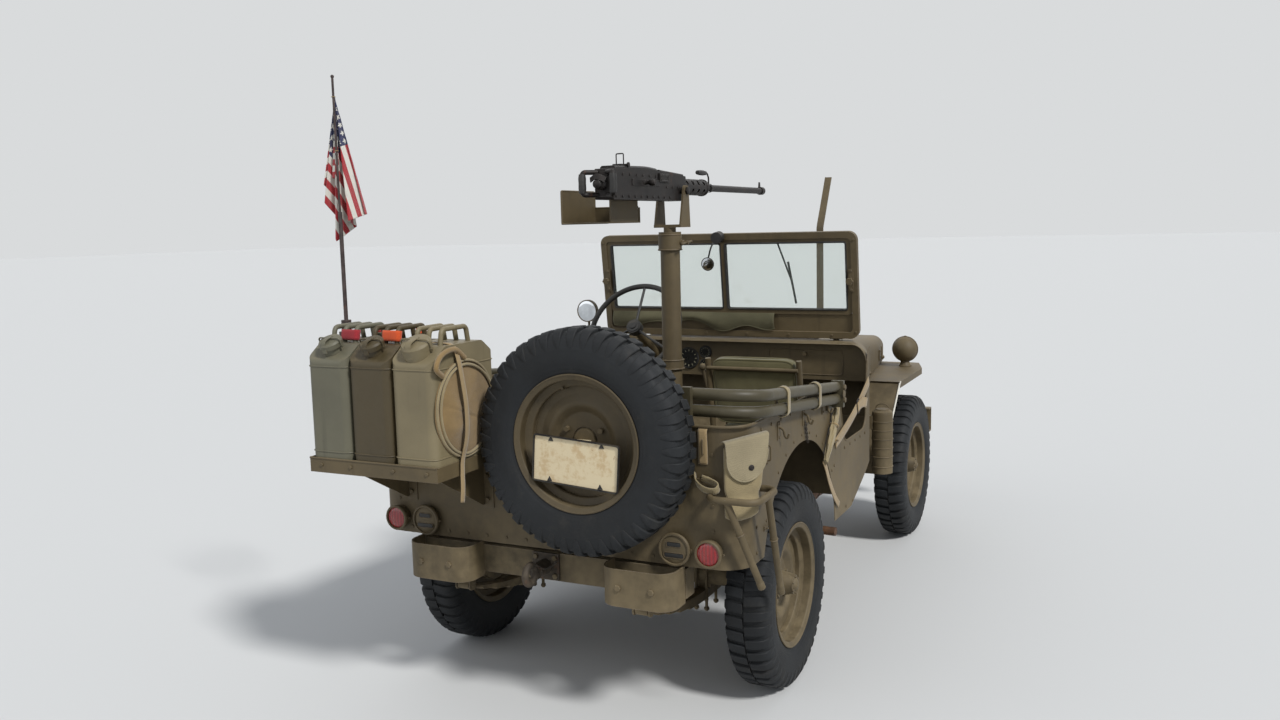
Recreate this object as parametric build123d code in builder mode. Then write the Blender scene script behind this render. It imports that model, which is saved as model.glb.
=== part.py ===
from build123d import *
import math
import os

os.makedirs("parts", exist_ok=True)

# Overall layout, in millimetres: forward is +Y, up is +Z, the vehicle's right is +X.
# Lengths along the vehicle are given ahead of the rear axle.
wheelbase = 2032
half_track = 622.5
front_reach = 2850
rear_reach = 905
rear_axle_y = (rear_reach - front_reach) / 2
run_gap = 0.05
soft_gap = 0.3

# Wheels and tyres
tyre_radius = 360
tyre_half_width = 78
tyre_wall = 13
bead_radius = 203
bead_half_width = 55
rim_gauge = 4
well_radius = 178
stud_circle = 70
stud_radius = 9
drum_radius = 132
spindle_radius = 24

# Body
sheet = 2
body_half = 700
cowl_half = 650
rear_face = -545
corner_round = 100
body_low = 568
side_low = 470
rail_top = 1020
cowl_top = 1100
cowl_back = 1000
cowl_front = 1180
arch_radius = 420
arch_y = 40
arch_z = 445
front_floor = 570
rear_floor = 608
floor_step = 430
house_x = 468
house_span = (-402, 482)
house_top = 892

# Frame
rail_outer = 371
rail_width = 50
rail_depth = 95
rail_wall = 4
rail_run = ((-545, 462), (-420, 462), (-300, 492), (330, 492), (500, 455), (2622, 455))

# Hood, fenders and grille
hood_back = 1190
hood_front = 2330
hood_back_half = 596
hood_front_half = 445
hood_low = 868
hood_front_top = 1000
fender_top = 857
fender_half = 700
grille_y = 2340
grille_gauge = 3
lamp_x = 330
lamp_z = 775

# Windshield
screen_y = 1140
screen_z = 1112
hinge_y = 1162
hinge_z = 1112
hinge_x = 510
hinge_pin = 5
hood_hinge_y = 1184
hood_hinge_z = 1102
hood_hinge_half = 420
hood_pin = 4
screen_lean = 6.7
screen_half = 623
screen_rise = 475
screen_tube = 28
panel_rise = 112

# Armament display and its pedestal
post_y = 505
post_radius = 40
post_top = 1588
pin_radius = 25
trunnion_y = post_y + 40
trunnion_z = post_top + 177

# Front axle and steering
kingpin_x = 495
ball_radius = 58
cup_radius = 72
arm_reach = 150
arm_top = 345
hub_point = (-330, 830, 1170)
hub_rise = 36
column_fall = 0.65
column_radius = 20
column_run = 1020

# Spare wheel
spare_x = 208
spare_y = -635
spare_z = 966

# Can rack
can_width = 162
can_depth = 340
can_rise = 412
can_base = 862
can_first = -664
can_pitch = 168
can_round = 28


def at(x, y, z):
    """A point by its place across, ahead of the rear axle and above the ground."""
    return (x, rear_axle_y + y, z)


def block(x, y, z, mode=Mode.ADD):
    """A square-edged block between two limits each way."""
    with Locations(at(sum(x) / 2, sum(y) / 2, sum(z) / 2)):
        Box(x[1] - x[0], y[1] - y[0], z[1] - z[0], mode=mode)


def rod(start, finish, radius, mode=Mode.ADD):
    """A round bar from one point to another."""
    first = Vector(*at(*start))
    run = Vector(*at(*finish)) - first
    with BuildSketch(Plane(origin=first, z_dir=run)) as end:
        Circle(radius)
    extrude(end.sketch, amount=run.length, mode=mode)


def bent_rod(points, bend, radius, bore=0):
    """A round bar or tube along straight runs joined by arcs."""
    with BuildLine() as run:
        FilletPolyline(*[at(*p) for p in points], radius=bend)
    with BuildSketch(Plane(origin=run.line @ 0, z_dir=run.line % 0)) as end:
        Circle(radius)
        if bore:
            Circle(bore, mode=Mode.SUBTRACT)
    sweep(end.sketch, path=run.line)


def side_plate(points, x, rounding=0, mode=Mode.ADD):
    """An outline seen from the side, as (ahead, up), given thickness across."""
    with BuildSketch(Plane.YZ.offset(x[0])) as outline:
        with BuildLine():
            FilletPolyline(*[(rear_axle_y + y, z) for y, z in points], radius=rounding, close=True)
        make_face()
    extrude(outline.sketch, amount=x[1] - x[0], mode=mode)


def side_strip(points, x, gauge, rounding=0, mode=Mode.ADD):
    """A sheet of one gauge that follows a line seen from the side."""
    with BuildSketch(Plane.YZ.offset(x[0])) as outline:
        with BuildLine():
            run = [(rear_axle_y + y, z) for y, z in points]
            if rounding:
                FilletPolyline(*run, radius=rounding)
            else:
                Polyline(*run)
        trace(line_width=gauge)
    extrude(outline.sketch, amount=x[1] - x[0], mode=mode)


def end_plate(points, y, rounding=0, mode=Mode.ADD):
    """An outline seen from the end, as (across, up), given thickness along the vehicle."""
    with BuildSketch(Plane.XZ.offset(-(rear_axle_y + y[1]))) as outline:
        with BuildLine():
            FilletPolyline(*points, radius=rounding, close=True)
        make_face()
    extrude(outline.sketch, amount=y[1] - y[0], mode=mode)


def plan_plate(points, z, rounding=0, mode=Mode.ADD):
    """An outline seen from above, as (across, ahead), given thickness upward."""
    with BuildSketch(Plane.XY.offset(z[0])) as outline:
        with BuildLine():
            FilletPolyline(*[(x, rear_axle_y + y) for x, y in points], radius=rounding, close=True)
        make_face()
    extrude(outline.sketch, amount=z[1] - z[0], mode=mode)


def turned(centre, outward, points, rounding=0, mode=Mode.ADD):
    """A ring turned about an axle, from (along the axle, radius) points."""
    with BuildSketch(Plane(origin=at(*centre), x_dir=outward, z_dir=(0, 0, 1))) as outline:
        with BuildLine():
            FilletPolyline(*points, radius=rounding, close=True)
        make_face()
    revolve(outline.sketch, axis=Axis(at(*centre), outward), mode=mode)


# Frame: two channel rails, crossmembers, body mounts


def rail_outline(inset):
    """A rail's side outline, drawn in by the wall of its channel."""
    low = [(y, z + inset) for y, z in rail_run]
    high = [(y, z + rail_depth - inset) for y, z in reversed(rail_run)]
    return low + high


rail_inner = rail_outer - rail_width
mount_radius = 26
cross_table = ((-240, 500, 70), (640, 462, 90), (1230, 462, 80))
mount_table = ((-280, rear_floor), (300, rear_floor), (640, front_floor), (900, front_floor))

with BuildPart() as frame:
    for side in (-1, 1):
        outer = sorted((side * rail_inner, side * rail_outer))
        inner = sorted((side * rail_inner, side * (rail_outer - rail_wall)))
        side_plate(rail_outline(0), outer)
        side_plate(rail_outline(rail_wall), inner, mode=Mode.SUBTRACT)
    for y, z, width in cross_table:
        block((-rail_outer + 1, rail_outer - 1), (y, y + width), (z, z + 70))
        block((-rail_outer, rail_outer), (y + 4, y + width - 4), (z - 1, z + 66), mode=Mode.SUBTRACT)
    rod((-rail_outer + 1, 2490, 502), (rail_outer - 1, 2490, 502), 28)
    block((-505, 505), (-545, -480), (462, 557))
    block((-500, 500), (-540, -479), (467, 552), mode=Mode.SUBTRACT)
    for y, floor in mount_table:
        top = 492 + rail_depth if y < 400 else 455 + rail_depth
        for side in (-1, 1):
            rod((side * 345, y, top - 3), (side * 345, y, floor), mount_radius)
frame.part.label = "frame"
export_step(frame.part, "parts/frame.step")

# Front bumper: a channel open to the rear, with two gusset plates
bumper_face = 2632
bumper_half = 650
bumper_low = 430
bumper_high = 565
bumper_wall = 6
gusset_span = (550, 555)

with BuildPart() as front_bumper:
    block((-bumper_half, bumper_half), (2572, bumper_face), (bumper_low, bumper_high))
    block(
        (-bumper_half - 1, bumper_half + 1),
        (2571, bumper_face - bumper_wall),
        (bumper_low + bumper_wall, bumper_high - bumper_wall),
        mode=Mode.SUBTRACT,
    )
    for side in (-1, 1):
        plan_plate(
            [(side * 325, 2250), (side * 371, 2250), (side * 470, 2600), (side * 325, 2600)],
            gusset_span,
            rounding=0,
        )
        block(sorted((side * 325, side * 470)), (2590, 2600), (gusset_span[0], bumper_high - 1))
front_bumper.part.label = "front_bumper"
export_step(front_bumper.part, "parts/front_bumper.step")

# Wire cutter: an angle bar standing on the bumper's face, its head leaning forward
cutter_leg = 40
cutter_gauge = 6
cutter_bend = (1590, 1885)

with BuildPart() as wire_cutter:
    side_strip(
        [(bumper_face + 3, 440), (bumper_face + 3, cutter_bend[0]), (2813, cutter_bend[1])],
        (-cutter_leg / 2, cutter_leg / 2),
        cutter_gauge,
        rounding=40,
    )
    side_strip(
        [(bumper_face + 20, 440), (bumper_face + 20, cutter_bend[0]), (2833, cutter_bend[1] - 8)],
        (-cutter_leg / 2, -cutter_leg / 2 + cutter_gauge),
        cutter_leg,
        rounding=60,
    )
wire_cutter.part.label = "wire_cutter"
export_step(wire_cutter.part, "parts/wire_cutter.step")

# Rear bumperettes: bent plates, open toward the crossmember
bumperette_low = 448
bumperette_high = 569
with BuildPart() as rear_bumperettes:
    for side in (-1, 1):
        plan_plate(
            [(side * 250, -545), (side * 250, -655), (side * 502, -655), (side * 502, -545)],
            (bumperette_low, bumperette_high),
            rounding=[0, 60, 60, 0],
        )
        plan_plate(
            [(side * 255, -544), (side * 255, -650), (side * 497, -650), (side * 497, -544)],
            (bumperette_low - 1, bumperette_high + 1),
            rounding=[0, 55, 55, 0],
            mode=Mode.SUBTRACT,
        )
rear_bumperettes.part.label = "rear_bumperettes"
export_step(rear_bumperettes.part, "parts/rear_bumperettes.step")

# Tow pintle: flange, shank and a closed hook
hook_y = -652
hook_z = 512
with BuildPart() as tow_pintle:
    block((-50, 50), (-555, -545), (467, 557))
    rod((0, -555, hook_z), (0, hook_y + 32, hook_z), 26)
    with Locations(Plane(origin=at(0, hook_y, hook_z), z_dir=(1, 0, 0))):
        Torus(30, 12)
tow_pintle.part.label = "tow_pintle"
export_step(tow_pintle.part, "parts/tow_pintle.step")

# Body tub: bent side and rear wall, cowl, floors, wheel houses, dash
side_line = [
    (-560, body_low), (0, body_low), (0, side_low), (700, side_low), (940, 565), (1200, 705),
    (1200, 1110), (955, 1110), (925, 755), (595, 755), (500, rail_top), (-560, rail_top),
]
side_round = [0, 0, 0, 25, 25, 0, 0, 110, 70, 70, 45, 0]
shoulder = 80


def along_column(distance):
    """A point on the steering column's line, by its distance below the wheel's hub."""
    share = distance / math.hypot(1, column_fall)
    return (hub_point[0], hub_point[1] + share, hub_point[2] - column_fall * share)


column_top = along_column(hub_rise / 2 + run_gap)
column_fix = along_column(column_run)
column_way = Vector(0, -1, column_fall).normalized()


def wall_outline(inset, front):
    """The side and rear wall seen from above, drawn in by a wall."""
    half = body_half - inset
    return [(-half, front), (-half, rear_face + inset), (half, rear_face + inset), (half, front)]


def arched(ahead, half, low, top, shoulder_round):
    """A section across the vehicle with two rounded shoulders."""
    with BuildSketch(Plane.XZ.offset(-(rear_axle_y + ahead))) as section:
        with BuildLine():
            FilletPolyline((-half, low), (-half, top), (half, top), (half, low),
                           radius=[0, shoulder_round, shoulder_round, 0], close=True)
        make_face()
    return section.sketch


with BuildPart() as body_tub:
    plan_plate(wall_outline(0, cowl_back), (460, cowl_top), rounding=[0, corner_round, corner_round, 0])
    plan_plate(wall_outline(sheet, cowl_back + 1), (459, cowl_top + 1),
               rounding=[0, corner_round - sheet, corner_round - sheet, 0], mode=Mode.SUBTRACT)
    for inset, mode in ((0, Mode.ADD), (sheet, Mode.SUBTRACT)):
        top = cowl_top - inset
        spans = ((cowl_back - 80 - inset / 2, body_half), (cowl_back, body_half),
                 (cowl_front + inset / 2, cowl_half))
        sections = [arched(y, half - inset, 450, top, shoulder - inset) for y, half in spans]
        loft(sections[:2], ruled=True, mode=mode)
        loft(sections[1:], ruled=True, mode=mode)
    side_plate(side_line, (-body_half - 5, body_half + 5), rounding=side_round, mode=Mode.INTERSECT)
    # Firewall, dash, toe board, floors and the step between them
    end_plate([(-cowl_half + 1, 700), (-cowl_half + 1, 1099), (cowl_half - 1, 1099), (cowl_half - 1, 700)],
              (cowl_front - 2, cowl_front), rounding=[0, shoulder - 1, shoulder - 1, 0])
    end_plate([(-680, 935), (-680, 1099), (680, 1099), (680, 935)], (1050, 1052),
              rounding=[0, shoulder - 1, shoulder - 1, 0])
    side_strip([(floor_step, front_floor + 1), (960, front_floor + 1), (cowl_front - 1, 760)],
               (-649, 649), sheet, rounding=60)
    block((-699, 699), (floor_step, 930), (front_floor, front_floor + sheet))
    block((-699, 699), (floor_step - sheet, floor_step), (front_floor, rear_floor + sheet))
    plan_plate(wall_outline(1, floor_step), (rear_floor, rear_floor + sheet),
               rounding=[0, corner_round - 1, corner_round - 1, 0])
    # Wheel houses, which stand on the floor inside the tub
    for side in (-1, 1):
        block(sorted((side * house_x, side * 699)), house_span, (front_floor, house_top))
    for side in (-1, 1):
        block(sorted((side * (house_x + sheet), side * (body_half - sheet))),
              (house_span[0] + sheet, house_span[1] - sheet),
              (front_floor - 1, house_top - sheet), mode=Mode.SUBTRACT)
        rod((side * (body_half - 20), arch_y, arch_z), (side * (body_half + 5), arch_y, arch_z),
            arch_radius, mode=Mode.SUBTRACT)
    rod(column_top, column_fix, column_radius + run_gap, mode=Mode.SUBTRACT)
    # Rolled lip along the top of the sides and the rear
    plan_plate([(-708, 470), (-708, -553), (708, -553), (708, 470)], (1014, rail_top),
               rounding=[0, corner_round + 8, corner_round + 8, 0])
    plan_plate([(-699, 471), (-699, -544), (699, -544), (699, 471)], (1013, rail_top + 1),
               rounding=[0, corner_round - 1, corner_round - 1, 0], mode=Mode.SUBTRACT)
    # Hinge lugs for the windshield and the hood's hinge leaf
    for side in (-1, 1):
        block(sorted((side * (hinge_x - 12), side * (hinge_x + 12))), (hinge_y - 8, hinge_y + 8),
              (cowl_top - 1, hinge_z))
        rod((side * (hinge_x - 12), hinge_y, hinge_z), (side * (hinge_x + 12), hinge_y, hinge_z), 8)
        rod((side * (hinge_x - 13), hinge_y, hinge_z), (side * (hinge_x + 13), hinge_y, hinge_z),
            hinge_pin + run_gap, mode=Mode.SUBTRACT)
    block((-hood_hinge_half, hood_hinge_half), (1158, hood_hinge_y - hood_pin - run_gap),
          (cowl_top - 1, hood_hinge_z))
body_tub.part.label = "body_tub"
export_step(body_tub.part, "parts/body_tub.step")

# Grille: pressed sheet with a returned edge, slots and lamp holes
grille_half = 436
grille_line = [(-grille_half, 600), (-grille_half, 900), (-395, 990), (395, 990), (grille_half, 900),
               (grille_half, 600)]
slot_pitch = 46
slot_count = 9
slot_width = 27
slot_span = (640, 930)
with BuildPart() as grille:
    end_plate(grille_line, (grille_y - 45, grille_y), rounding=[30, 40, 50, 50, 40, 30])
    inner_line = [(-433, 603), (-433, 899), (-393, 987), (393, 987), (433, 899), (433, 603)]
    end_plate(inner_line, (grille_y - 46, grille_y - grille_gauge),
              rounding=[27, 37, 47, 47, 37, 27], mode=Mode.SUBTRACT)
    for place in range(slot_count):
        x = (place - (slot_count - 1) / 2) * slot_pitch
        end_plate([(x - slot_width / 2, slot_span[0]), (x - slot_width / 2, slot_span[1]),
                   (x + slot_width / 2, slot_span[1]), (x + slot_width / 2, slot_span[0])],
                  (grille_y - 10, grille_y + 1), rounding=13, mode=Mode.SUBTRACT)
    for side in (-1, 1):
        rod((side * lamp_x, grille_y - 10, lamp_z), (side * lamp_x, grille_y + 1, lamp_z), 84,
            mode=Mode.SUBTRACT)
    for side in (-1, 1):
        block(sorted((side * 326, side * 368)), (grille_y - 42, grille_y - 4), (gusset_span[1], 603))
grille.part.label = "grille"
export_step(grille.part, "parts/grille.step")

# Front lamps: two headlamps behind the grille and a round lamp on the right fender
ball_lamp = (600, 2165, 948)
with BuildPart() as front_lamps:
    for side in (-1, 1):
        turned((side * lamp_x, grille_y - 8, lamp_z), (0, 1, 0),
               [(-88, 0), (-88, 30), (-55, 70), (-1, 80), (-1, 92), (5, 92), (5, 76), (10, 0)])
    with Locations(at(*ball_lamp)):
        Sphere(65)
    rod((ball_lamp[0], ball_lamp[1], fender_top), (ball_lamp[0], ball_lamp[1], 900), 22)
front_lamps.part.label = "front_lamps"
export_step(front_lamps.part, "parts/front_lamps.step")

# Radiator: core and header tank behind the grille
with BuildPart() as radiator:
    block((-225, 225), (2215, 2265), (610, 900))
    block((-235, 235), (2205, 2275), (900, 960))
    rod((-235 + 40, 2240, 555), (-235 + 40, 2240, 612), 15)
    rod((235 - 40, 2240, 555), (235 - 40, 2240, 612), 15)
    block((-325, 325), (2225, 2255), (550, 560))
radiator.part.label = "radiator"
export_step(radiator.part, "parts/radiator.step")

# Front fenders: flat top, sloped rear sheet, inner aprons and a turned lip
slope_line = [(1605, fender_top - 1), (1305, 585), (1292, 470)]
fender_back = 1600
fender_round_y = 2110
fender_front = 2325
apron_half = 405
with BuildPart() as front_fenders:
    plan_plate([(-apron_half, cowl_front), (-610, cowl_front), (-556, fender_back - 10),
                (-fender_half, fender_back - 10), (-fender_half, fender_round_y),
                (-640, fender_front), (-grille_half, fender_front),
                (-grille_half, 2285), (-apron_half, 2285)],
               (fender_top - sheet, fender_top), rounding=[0, 0, 0, 0, 60, 50, 0, 0, 0])
    plan_plate([(-fender_half, fender_back), (-fender_half, fender_round_y), (-640, fender_front),
                (-620, fender_front), (-fender_half + sheet, fender_round_y - 5),
                (-fender_half + sheet, fender_back)],
               (fender_top - 30, fender_top - 1), rounding=[0, 60, 0, 0, 58, 0])
    side_strip(slope_line, (-fender_half, -540), sheet, rounding=60)
    block((-apron_half - 2 - sheet, -apron_half - 2), (hood_back + 2, 2240), (600, fender_top - 1))
    with BuildSketch(Plane.XY.offset(600)):
        with BuildLine():
            Polyline((-603, rear_axle_y + hood_back + 3), (-549, rear_axle_y + fender_back - 4))
        trace(line_width=sheet)
    extrude(amount=fender_top - 601)
    mirror(about=Plane.YZ)
front_fenders.part.label = "front_fenders"
export_step(front_fenders.part, "parts/front_fenders.step")


# Hood: a tapering pressed shell open below
with BuildPart() as hood:
    for inset, mode in ((0, Mode.ADD), (sheet, Mode.SUBTRACT)):
        loft([arched(hood_back - inset / 2, hood_back_half - inset, hood_low - inset,
                     cowl_top - 4 - inset, 80 - inset),
              arched(hood_front + inset / 2, hood_front_half - inset, hood_low - inset,
                     hood_front_top - inset, 60 - inset)], ruled=True, mode=mode)
    rod((-hood_hinge_half, hood_hinge_y, hood_hinge_z), (hood_hinge_half, hood_hinge_y, hood_hinge_z), hood_pin)
    block((-hood_hinge_half, hood_hinge_half), (hood_hinge_y, hood_back + 10), (cowl_top - 5, cowl_top + 1))
hood.part.label = "hood"
export_step(hood.part, "parts/hood.step")

# Windshield: outer frame, lower panel and centre bar, leaning back from its hinge
lean = math.radians(screen_lean)
screen = Plane(origin=at(0, screen_y, screen_z), x_dir=(1, 0, 0),
               z_dir=(0, -math.cos(lean), -math.sin(lean)))


def screen_frame(half, low, high, depth, shift, rounding, mode=Mode.ADD):
    """A rectangle in the windshield's own plane, given depth about it."""
    with BuildSketch(screen.offset(shift - depth / 2)) as outline:
        with Locations((0, (low + high) / 2)):
            RectangleRounded(2 * half, high - low, rounding)
    extrude(outline.sketch, amount=depth, mode=mode)


with BuildPart() as windshield_frame:
    screen_frame(screen_half, 0, screen_rise, screen_tube, 0, 40)
    screen_frame(screen_half - screen_tube, screen_tube, screen_rise - screen_tube, 40, 0, 20,
                 mode=Mode.SUBTRACT)
    screen_frame(screen_half - screen_tube + 1, screen_tube - 1, panel_rise, 3, 0, 2)
    screen_frame(screen_half - screen_tube + 1, panel_rise - 5, screen_rise - screen_tube + 1, 16, 0, 20)
    screen_frame(screen_half - 50, panel_rise + 16, screen_rise - 46, 18, 0, 10, mode=Mode.SUBTRACT)
    screen_frame(11, panel_rise, screen_rise - 30, 16, 0, 2)
    for side in (-1, 1):
        rod((side * (hinge_x - 30), hinge_y, hinge_z), (side * (hinge_x + 30), hinge_y, hinge_z), hinge_pin)
        for way in (-1, 1):
            ends = sorted((side * (hinge_x + way * 14), side * (hinge_x + way * 30)))
            rod((ends[0], hinge_y, hinge_z), (ends[1], hinge_y, hinge_z), 8)
            block(ends, (hinge_y - 16, hinge_y), (hinge_z + 1, hinge_z + 8))
windshield_frame.part.label = "windshield_frame"
export_step(windshield_frame.part, "parts/windshield_frame.step")

with BuildPart() as windshield_glass:
    for side in (-1, 1):
        with BuildSketch(screen.offset(-2.5)):
            with Locations((side * (screen_half - 50 + 11) / 2, (panel_rise + 16 + screen_rise - 46) / 2)):
                RectangleRounded(screen_half - 50 - 11 - 0.4, screen_rise - 62 - panel_rise - 0.4, 12)
        extrude(amount=5)
windshield_glass.part.label = "windshield_glass"
export_step(windshield_glass.part, "parts/windshield_glass.step")


def on_screen(x, up, out):
    """A point by its place on the windshield's plane, and how far to its rear."""
    return (x, screen_y - up * math.sin(lean) - out * math.cos(lean),
            screen_z + up * math.cos(lean) - out * math.sin(lean))


with BuildPart() as wipers:
    rod(on_screen(-10, 462, 14), on_screen(-10, 462, 55), 26)
    for side in (-1, 1):
        bent_rod([on_screen(side * 240, 462, -14), on_screen(side * 240, 462, -26),
                  on_screen(side * 314, 250, -22)], 6, 4)
        rod(on_screen(side * 300, 340, -22), on_screen(side * 330, 150, -22), 5)
wipers.part.label = "wipers"
export_step(wipers.part, "parts/wipers.step")

# Front seats: tube frames with seat and back cushions
seat_tube = 12
cross_tube = 8
cross_drop = 14.5
seat_x = 345
seat_reach = 193
seat_line = ((910, 740), (580, 720), (520, 1085))
seat_gap_x = seat_reach - seat_tube - soft_gap


def seat_rail(x, line, floor):
    """One side tube of a seat: front leg, seat rail and back post."""
    bent_rod([(x, line[0][0], floor), (x, *line[0]), (x, *line[1]), (x, *line[2])], 45, seat_tube)


def along(line, low, share, lift):
    """A point along one run of a seat's side line, lifted square to it."""
    start, finish = line[low], line[low + 1]
    run = (finish[0] - start[0], finish[1] - start[1])
    length = math.hypot(*run)
    return (start[0] + share * run[0] + lift * run[1] / length,
            start[1] + share * run[1] - lift * run[0] / length)


def cushion(line, low, shares, lifts, x, rounding):
    """A pad between a seat's side tubes, by its place along one run and its depth."""
    near = [along(line, low, share, lifts[0]) for share in shares]
    far = [along(line, low, share, lifts[1]) for share in reversed(shares)]
    side_plate(near + far, x, rounding=rounding)


with BuildPart() as seat_frames:
    for side in (-1, 1):
        for edge in (-1, 1):
            x = side * seat_x + edge * seat_reach
            seat_rail(x, seat_line, front_floor + sheet)
            rod((x, 610, 721), (x, 600, front_floor + sheet + 2), seat_tube)
        ends = (side * seat_x - seat_reach, side * seat_x + seat_reach)
        for low, share in ((0, 0.12), (0, 0.8), (1, 0.9)):
            y, z = along(seat_line, low, share, -cross_drop)
            rod((ends[0], y, z), (ends[1], y, z), cross_tube)
seat_frames.part.label = "seat_frames"
export_step(seat_frames.part, "parts/seat_frames.step")

with BuildPart() as seat_cushions:
    for side in (-1, 1):
        pad = (side * seat_x - seat_gap_x, side * seat_x + seat_gap_x)
        cushion(seat_line, 0, (0.05, 0.86), (-6, 68), pad, 16)
        cushion(seat_line, 1, (0.25, 1.02), (-6, 42), pad, 16)
seat_cushions.part.label = "seat_cushions"
export_step(seat_cushions.part, "parts/seat_cushions.step")

# Rear seat: tube frame and cushions between the wheel houses
bench_reach = 420
bench_line = ((60, 790), (-300, 780), (-370, 1000))
bench_gap_x = bench_reach - seat_tube - soft_gap
with BuildPart() as rear_seat:
    for side in (-1, 1):
        seat_rail(side * bench_reach, bench_line, rear_floor + sheet)
        rod((side * bench_reach, -270, 781), (side * bench_reach, -270, rear_floor + sheet), seat_tube)
    for low, share in ((0, 0.12), (0, 0.85), (1, 0.9)):
        y, z = along(bench_line, low, share, -cross_drop)
        rod((-bench_reach, y, z), (bench_reach, y, z), cross_tube)
rear_seat.part.label = "rear_seat"
export_step(rear_seat.part, "parts/rear_seat.step")

with BuildPart() as rear_cushions:
    cushion(bench_line, 0, (0.05, 0.9), (-6, 66), (-bench_gap_x, bench_gap_x), 16)
    cushion(bench_line, 1, (0.34, 1.02), (-6, 42), (-bench_gap_x, bench_gap_x), 16)
rear_cushions.part.label = "rear_cushions"
export_step(rear_cushions.part, "parts/rear_cushions.step")

# Steering column and wheel
wheel_ring = 215
ring_radius = 12
with BuildPart() as steering_column:
    rod(column_top, column_fix, column_radius)
    block((-rail_outer, -290), (1640, 1750), (rail_run[-1][1] + rail_depth, 660))
steering_column.part.label = "steering_column"
export_step(steering_column.part, "parts/steering_column.step")

with BuildPart() as steering_wheel:
    with Locations(Plane(origin=at(*hub_point), x_dir=(1, 0, 0), z_dir=column_way)):
        Torus(wheel_ring, ring_radius)
        Cylinder(34, hub_rise)
        for turn in (90, 210, 330):
            with Locations(Rotation(0, 0, turn)):
                with Locations(Pos(wheel_ring / 2, 0, 0) * Rotation(0, 90, 0)):
                    Cylinder(6, wheel_ring - 10)
steering_wheel.part.label = "steering_wheel"
export_step(steering_wheel.part, "parts/steering_wheel.step")

# Driver's controls: levers on the tunnel and three pedals
lever_table = (((20, 905, 572), (20, 905, 740), (-10, 850, 1000), 16),
               ((88, 900, 572), (88, 900, 720), (88, 870, 830), 12),
               ((122, 900, 572), (122, 900, 720), (122, 870, 810), 12))
with BuildPart() as driver_controls:
    for foot, middle, head, knob in lever_table:
        bent_rod([foot, middle, head], 60, 7)
        with Locations(at(*head)):
            Sphere(knob)
    for x in (-430, -350, -230):
        rod((x, 1079.7, 676.6), (x, 1000, 760), 8)
        block((x - 28, x + 28), (992, 1000), (735, 800))
driver_controls.part.label = "driver_controls"
export_step(driver_controls.part, "parts/driver_controls.step")

# Engine and gearbox in one plain mass, on two mounts
output_z = 425
transfer_span = (900, 1211)
with BuildPart() as engine_and_gearbox:
    block((-150, 150), (1500, 2060), (520, 930))
    block((-110, 110), (1210, 1501), (540, 700))
    block((-70, 230), transfer_span, (395, 555))
    block((-345, 345), (1870, 1930), (550, 574))
    block((-110, 110), (1232, 1308), (532, 541))
engine_and_gearbox.part.label = "engine_and_gearbox"
export_step(engine_and_gearbox.part, "parts/engine_and_gearbox.step")

# Axles: tubes with offset differential housings
diff_x = 170
axle_tube = 38
diff_radius = 118
flange_radius = 126
pinion_reach = 200
spring_x = 345
seat_gap = 6


def axle_body(y, way):
    """Tube, housing, pinion neck and spring seats of one axle."""
    with Locations(at(diff_x, y, tyre_radius)):
        Sphere(diff_radius)
    rod((diff_x, y, tyre_radius), (diff_x, y + way * pinion_reach, tyre_radius), 42)
    for side in (-1, 1):
        block(sorted((side * (spring_x - 28), side * (spring_x + 28))), (y - 25, y + 25),
              (tyre_radius - axle_tube - seat_gap, tyre_radius - axle_tube + 12))


with BuildPart() as rear_axle:
    rod((-560, 0, tyre_radius), (560, 0, tyre_radius), axle_tube)
    axle_body(0, 1)
    for side in (-1, 1):
        rod((side * 560, 0, tyre_radius), (side * 566, 0, tyre_radius), flange_radius)
        rod((side * 565, 0, tyre_radius), (side * 640, 0, tyre_radius), spindle_radius)
rear_axle.part.label = "rear_axle"
export_step(rear_axle.part, "parts/rear_axle.step")

with BuildPart() as front_axle:
    rod((-kingpin_x, wheelbase, tyre_radius), (kingpin_x, wheelbase, tyre_radius), axle_tube)
    axle_body(wheelbase, -1)
    for side in (-1, 1):
        with Locations(at(side * kingpin_x, wheelbase, tyre_radius)):
            Sphere(ball_radius)
        rod((side * kingpin_x, wheelbase, tyre_radius - 70), (side * kingpin_x, wheelbase, tyre_radius + 70),
            12 + run_gap, mode=Mode.SUBTRACT)
front_axle.part.label = "front_axle"
export_step(front_axle.part, "parts/front_axle.step")

# Steering knuckles: cup round the axle's ball, kingpins, flange, spindle and arm
for side, name in ((-1, "knuckle_left"), (1, "knuckle_right")):
    with BuildPart() as knuckle:
        with Locations(at(side * kingpin_x, wheelbase, tyre_radius)):
            Sphere(cup_radius)
            Sphere(ball_radius + 1, mode=Mode.SUBTRACT)
        block(sorted((side * (kingpin_x - 90), side * (kingpin_x - 2))), (wheelbase - 90, wheelbase + 90),
              (tyre_radius - 90, tyre_radius + 90), mode=Mode.SUBTRACT)
        for way in (-1, 1):
            rod((side * kingpin_x, wheelbase, tyre_radius + way * 30),
                (side * kingpin_x, wheelbase, tyre_radius + way * 84), 12)
            rod((side * kingpin_x, wheelbase, tyre_radius + way * 66),
                (side * kingpin_x, wheelbase, tyre_radius + way * 84), 22)
        rod((side * 560, wheelbase, tyre_radius), (side * 567, wheelbase, tyre_radius), flange_radius)
        rod((side * 565, wheelbase, tyre_radius), (side * 640, wheelbase, tyre_radius), spindle_radius)
        block(sorted((side * 487, side * 513)), (wheelbase + 62, wheelbase + arm_reach), (arm_top - 15, arm_top))
        rod((side * kingpin_x, wheelbase + arm_reach, arm_top - 15),
            (side * kingpin_x, wheelbase + arm_reach, arm_top), 24)
    knuckle.part.label = name
    export_step(knuckle.part, f"parts/{name}.step")

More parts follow.
